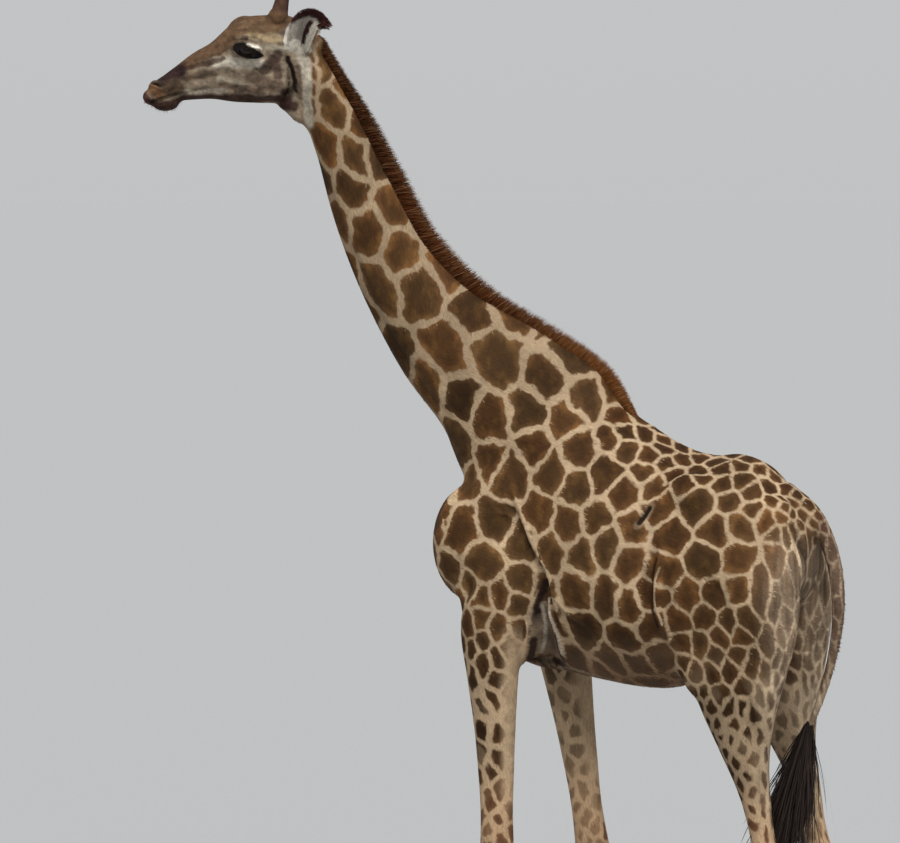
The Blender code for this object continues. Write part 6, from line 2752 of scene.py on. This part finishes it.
@dataclass
class Horns(Hairy):
    """The two skin-covered horns, with dark hair round their tops.

    Attributes:
        count: how many hairs each has.
        trial_count: how many it has in a trial.
        profile: its radius at shares of its length.
        foot: the middle of the left one's foot, along the head.
    """

    count: int = 5200
    trial_count: int = 1500
    profile: tuple = ((-0.14, 0.016), (-0.05, 0.027), (0.06, 0.0325), (0.25, 0.0285), (0.5, 0.0235),
        (0.75, 0.0225), (0.92, 0.025), (1.0, 0.0205))
    foot: tuple = (0.112, 0.05, 4.14)

    def build(self) -> list[bpy.types.Object]:
        """Each horn's body and its hair.

        Returns:
            The pieces.
        """
        finish, tufts = HideFinish("horn_skin").material(), HairFinish("horn_hair").material()
        made = []
        for side in Side:
            core, hair = self._core(side), self._hair(side)
            core.data.materials.append(finish)
            hair.data.materials.append(tufts)
            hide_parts(f"horn_{side.word}")
            made += [core, hair]
        return made

    def _axis(self, side: Side) -> tuple[np.ndarray, np.ndarray]:
        """The middle of a horn's foot, and the way it points.

        Args:
            side: which horn's.

        Returns:
            A place and a unit vector.
        """
        forward, left, height = self.foot
        lean = (UP - HEAD_FORWARD * 0.2 + HEAD_LEFT * (side.value * 0.1)).normalized()
        return np.array(head_point(forward, side.value * left, height)), np.array(lean)

    def _colour(self, share: np.ndarray, mottle: np.ndarray) -> np.ndarray:
        """Brown at the foot, nearly black round the top."""
        brown = blend((0.074, 0.036, 0.024), (0.112, 0.063, 0.033), smoothstep(share, 0.26, 0.1))
        return blend(brown, (0.022, 0.011, 0.009), smoothstep(share, 0.42, 0.8)) * (1 + 0.3 * mottle)[:, None]

    def _core(self, side: Side) -> bpy.types.Object:
        """A horn's body, a little uneven, painted as the skin is.

        Args:
            side: which horn's.

        Returns:
            The piece.
        """
        foot, lean = self._axis(side)
        stations = []
        for along, radius in self.profile:
            stations.append(Station(tuple(foot + lean * (HORN_LENGTH * along)), *[radius - 0.001] * 3))
        obj = new_object(f"horn_{side.word}_body", [loft(stations, HEAD_FORWARD, ring=40, steps=10, domes=8)])
        points, normals = points_of(obj), normals_of(obj)
        wave = noise_field(noise.fractal, points, 34.0, 1.0, 2.0, 3)
        set_points(obj, points + 0.0014 * wave[:, None] * normals)
        colour = self._colour((points - foot) @ lean / HORN_LENGTH, wave)
        flat = np.ones(len(points))
        painted = {"edge": 0.02 * flat, "strength": 0 * flat, "down": flat}
        painted |= {"ground": colour, "patch": colour * 0.6}
        for name, values in painted.items():
            set_attribute(obj, name, values)
        smooth_shaded(obj)
        return obj

    def _hair(self, side: Side) -> bpy.types.Object:
        """The hair round a horn, longer towards its top.

        Args:
            side: which horn's.

        Returns:
            The piece.
        """
        foot, lean = self._axis(side)
        count = self.trial_count if self.quick else self.count
        share = self.random.uniform(0.0, 1.0, count) ** 0.75
        angle = self.random.uniform(0.0, 2 * math.pi, count)
        sideways = unit(np.cross(lean, [[0.0, 1.0, 0.0]]))[0]
        out = np.outer(np.cos(angle), sideways) + np.outer(np.sin(angle), np.cross(lean, sideways))
        radius = np.interp(share, *np.array(self.profile).T) - 0.003
        top = smoothstep(share, 0.55, 0.9)
        ways = unit(lean * (0.9 - 0.2 * top)[:, None] + out * (0.1 + 0.16 * top)[:, None])
        return Strands(
            roots=foot + np.outer(share * (HORN_LENGTH - 0.004), lean) + out * radius[:, None],
            ways=unit(ways + self.random.normal(0.0, 0.1, (count, 3))),
            bends=-0.1 * out,
            lengths=(0.012 + 0.01 * top) * self.random.uniform(0.6, 1.1, count),
            widths=self.random.uniform(0.0012, 0.0024, count),
            normals=out,
            colours=self._colour(share, self.random.normal(0.0, 0.6, count)).clip(0.004, 1.0),
        ).build(f"horn_{side.word}_hair")


@dataclass(frozen=True)
class Eyes:
    """The two eyes, dark brown with long level pupils.

    Attributes:
        sunk: how much smaller the ball is than the lids are shaped for.
        iris: inner and outer radius of the iris's rim.
        pupil: half its length and half its height.
        colours: white of the eye, iris and pupil.
    """

    sunk: float = 0.0004
    iris: tuple = (0.0185, 0.0205)
    pupil: tuple = (0.0105, 0.0048)
    colours: tuple = ((0.01, 0.006, 0.005), (0.016, 0.008, 0.005), (0.003, 0.003, 0.004))

    def build(self) -> list[bpy.types.Object]:
        """Both balls.

        Returns:
            The pieces.
        """
        finish = EyeFinish().material()
        made = []
        for side in Side:
            form = EyeForm(side)
            shape = ellipsoid(form.centre, [EYE_RADIUS - self.sunk] * 3, ring=64)
            ball = new_object(f"eyeball_{side.word}", [shape])
            set_attribute(ball, "hair", self._colour(form.local(points_of(ball))))
            ball.data.materials.append(finish)
            smooth_shaded(ball)
            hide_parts(f"eye_{side.word}")
            made.append(ball)
        return made

    def _colour(self, spots: np.ndarray) -> np.ndarray:
        """The ball's colours at places given from its middle.

        Args:
            spots: places from the ball's middle.

        Returns:
            The colours.
        """
        along, rise, out = spots.T
        flat = np.hypot(along, rise)
        long, high = self.pupil
        iris = smoothstep(flat, self.iris[1], self.iris[0]) * (out > 0)
        pupil = smoothstep(np.hypot(along / long, rise / high), 1.15, 0.85) * (out > 0)
        fibre = 1 + 0.35 * np.sin(np.arctan2(rise, along) * 31) * smoothstep(flat, 0.006, 0.012)
        white, brown, black = self.colours
        return blend(blend(white, np.outer(fibre, brown), iris), black, pupil).clip(0.003, 1.0)


@dataclass(frozen=True)
class Hooves:
    """Eight claws, two to a foot, with growth rings and worn rims.

    Attributes:
        anatomy: gives the places of the feet.
        apart: half the distance between the middles of a foot's claws.
        heel_back: how far behind the coronet a claw's middle lies.
        toe_slope: how far a claw's foot reaches ahead of its top.
        toe_taper: how much a claw narrows towards its toe.
        heights: shares of a claw's height.
        half_lengths: half its length at those heights.
        half_widths: half its width at those heights.
        ring: points round a claw.
        levels: rings up a claw.
    """

    anatomy: Anatomy
    apart: float = 0.049
    heel_back: float = 0.004
    toe_slope: float = 0.024
    toe_taper: float = 0.34
    heights: tuple = (0.0, 0.04, 1.0)
    half_lengths: tuple = (0.107, 0.104, 0.08)
    half_widths: tuple = (0.0465, 0.046, 0.039)
    ring: int = 72
    levels: int = 26

    def build(self) -> list[bpy.types.Object]:
        """Every claw.

        Returns:
            The pieces.
        """
        finish = HornFinish("hoof_horn", (0.085, 0.06, 0.042, 1.0), 210.0).material()
        made = []
        for foot, (side, coronet_y) in self.anatomy.feet().items():
            for claw, word in ((1, "left"), (-1, "right")):
                piece = new_object(f"claw_{foot}_{word}", [self._claw(side, claw, coronet_y)])
                piece.data.materials.append(finish)
                smooth_shaded(piece)
                piece.data.polygons[0].use_smooth = False
                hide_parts(f"hoof_{foot}_{word}")
                made.append(piece)
        return made

    def _claw(self, side: Side, claw: int, coronet_y: float) -> Shape:
        """One claw, flat underneath and rounded in at its top.

        Args:
            side: the foot's side.
            claw: 1 for its left claw, -1 for its right one.
            coronet_y: the foot's place along the body.

        Returns:
            Its points and faces.
        """
        turns = np.linspace(0.0, 2 * math.pi, self.ring, endpoint=False)
        along = np.cos(turns)
        rings = []
        for level in np.linspace(0.0, 1.0, self.levels):
            wear = 0.0022 * math.exp(-level * 30)
            growth = 0.0007 * math.sin(level * 46) * smoothstep(np.array([level]), 0.05, 0.2)[0]
            shoulder = 0.0085 * max(0.0, (level - 0.8) / 0.2) ** 2
            half_length = np.interp(level, self.heights, self.half_lengths) - wear + growth - shoulder
            half_width = np.interp(level, self.heights, self.half_widths) - wear + growth - 0.6 * shoulder
            cleft = 1.0 - 0.1 * smoothstep(np.sin(turns) * -claw, 0.3, 1.0)
            x = half_width * np.sin(turns) * (1.0 - self.toe_taper * np.maximum(0.0, along) ** 2) * cleft
            y = coronet_y + self.heel_back - self.toe_slope * (1.0 - level) - half_length * along
            z = level * (CORONET_Z - CORONET_SLOPE * (y - coronet_y) - 0.0012)
            rings.append(np.stack([side.value * LEG_OUT + claw * self.apart + x, y, z], 1))
        middle = rings[-1].mean(0)
        rings.append(middle + (rings[-1] - middle) * 0.82 + np.array([0.0, 0.0, 0.004]))
        count = self.ring
        caps = [tuple(range(count)), tuple(range(len(rings) * count - count, len(rings) * count))]
        return np.concatenate(rings), caps + ring_faces(len(rings), count)


@dataclass(frozen=True)
class Skin:
    """The one skin of the animal, painted.

    Attributes:
        anatomy: the flesh that it covers.
        quick: whether it is grown coarser, for a trial.
        nodes: single nodes of the frame that it stands for.
        paired: nodes that it stands for on both sides.
    """

    anatomy: Anatomy
    quick: bool
    nodes: tuple = ("head", "neck", "trunk", "tail")
    paired: tuple = ("ear", "thigh", "forearm", "front_shank", "hind_shank")

    def build(self) -> tuple[bpy.types.Object, dict]:
        """The skin and what is painted on it.

        Returns:
            The skin, and its attributes by name.
        """
        skin = SkinSculptor(self.anatomy, self.quick).build()
        painted = Markings(skin, seed=11).paint(points_of(skin), normals_of(skin))
        for name, values in painted.items():
            set_attribute(skin, name, values)
        skin.data.materials.clear()
        skin.data.materials.append(HideFinish().material())
        smooth_shaded(skin)
        paired = [f"{name}_{side.word}" for name in self.paired for side in Side]
        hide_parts(*self.nodes, *paired)
        return skin, painted


@dataclass(frozen=True)
class Studio:
    """Floor, light and camera.

    Attributes:
        azimuth: how far the camera has gone round from straight ahead, in degrees.
        pitch: how far it looks down, in degrees.
        distance: how far off it stands.
        height: how high it stands.
        focal: its focal length, in the steps that the view's width is counted in.
        view_width: the view's width in those steps.
        sensor: the width of its sensor, in millimetres.
        floor_size: half the floor's side.
        sky: the colours of the sky's foot and top.
        sun: the way the sunlight falls.
        sun_strength: its strength.
        sun_width: how wide the sun is, in degrees.
    """

    azimuth: float = 118.0
    pitch: float = 3.6
    distance: float = 14.0
    height: float = 3.5
    focal: float = 3684.0
    view_width: float = 900.0
    sensor: float = 36.0
    floor_size: float = 900.0
    sky: tuple = ((0.535, 0.545, 0.55, 1.0), (0.64, 0.655, 0.68, 1.0))
    sun: tuple = (-0.514, -0.386, -0.766)
    sun_strength: float = 3.1
    sun_width: float = 32.0

    def build(self) -> None:
        """A pale floor, soft light from above, and the camera at its standpoint."""
        self._floor()
        self._light()
        self._camera()

    def _floor(self) -> None:
        """A wide floor just under the soles."""
        mesh = bpy.data.meshes.new("floor")
        with editing(mesh) as shape:
            bmesh.ops.create_grid(shape, x_segments=8, y_segments=8, size=self.floor_size)
        floor = bpy.data.objects.new("floor", mesh)
        floor.location.z = -0.0005
        bpy.context.scene.collection.objects.link(floor)
        mesh.materials.append(FloorFinish().material())

    def _light(self) -> None:
        """An even sky, a little brighter at its top, and one soft sun."""
        world = bpy.data.worlds.new("studio")
        world.use_nodes = True
        tree = world.node_tree
        way = tree.nodes.new("ShaderNodeTexCoord")
        parts = tree.nodes.new("ShaderNodeSeparateXYZ")
        ramp = tree.nodes.new("ShaderNodeValToRGB")
        for element, colour in zip(ramp.color_ramp.elements, self.sky):
            element.color = colour
        tree.links.new(way.outputs["Generated"], parts.inputs[0])
        tree.links.new(parts.outputs["Z"], ramp.inputs[0])
        tree.links.new(ramp.outputs[0], tree.nodes["Background"].inputs["Color"])
        bpy.context.scene.world = world
        sun = bpy.data.lights.new("sun", "SUN")
        sun.energy, sun.angle = self.sun_strength, math.radians(self.sun_width)
        lamp = bpy.data.objects.new("sun", sun)
        lamp.rotation_euler = Vector(self.sun).to_track_quat("-Z", "Y").to_euler()
        bpy.context.scene.collection.objects.link(lamp)

    def _camera(self) -> None:
        """The camera, level to the sides and looking slightly down."""
        turn, pitch = math.radians(self.azimuth), math.radians(self.pitch)
        level = Vector((math.sin(turn), -math.cos(turn), 0.0))
        back = level * math.cos(pitch) + UP * math.sin(pitch)
        right = Vector((math.cos(turn), math.sin(turn), 0.0))
        data = bpy.data.cameras.new("camera")
        data.sensor_width = self.sensor
        data.lens = self.focal / self.view_width * self.sensor
        data.clip_end = 2000.0
        camera = bpy.data.objects.new("camera", data)
        place = level * self.distance + UP * self.height + ORIGIN_SHIFT
        facing = Matrix((right, back.cross(right), back)).transposed().to_4x4()
        camera.matrix_world = Matrix.Translation(place) @ facing
        bpy.context.scene.collection.objects.link(camera)
        bpy.context.scene.camera = camera
        bpy.context.scene.view_settings.view_transform = "Standard"


def main() -> None:
    """Builds the animal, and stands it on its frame."""
    logging.basicConfig(level=logging.INFO, format="%(message)s")
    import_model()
    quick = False
    anatomy = Anatomy()
    skin, painted = Skin(anatomy, quick).build()
    coat = Coat(quick, 5, skin, painted).build()
    face = FaceHair(quick, 7, skin).build()
    mane = Mane(quick, 3, anatomy).build()
    tuft = TailTuft(quick, 4).build()
    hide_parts("mane")
    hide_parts("tail_tuft")
    pieces = [skin, *coat, *face, *mane, *tuft]
    pieces += Horns(quick, 6).build() + Eyes().build() + Hooves(anatomy).build()
    for piece in pieces:
        piece.data.transform(Matrix.Translation(ORIGIN_SHIFT))
        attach(piece, "root")
        log.info("%s: %d faces", piece.name, len(piece.data.polygons))
    Studio().build()


if __name__ == "__main__":
    main()
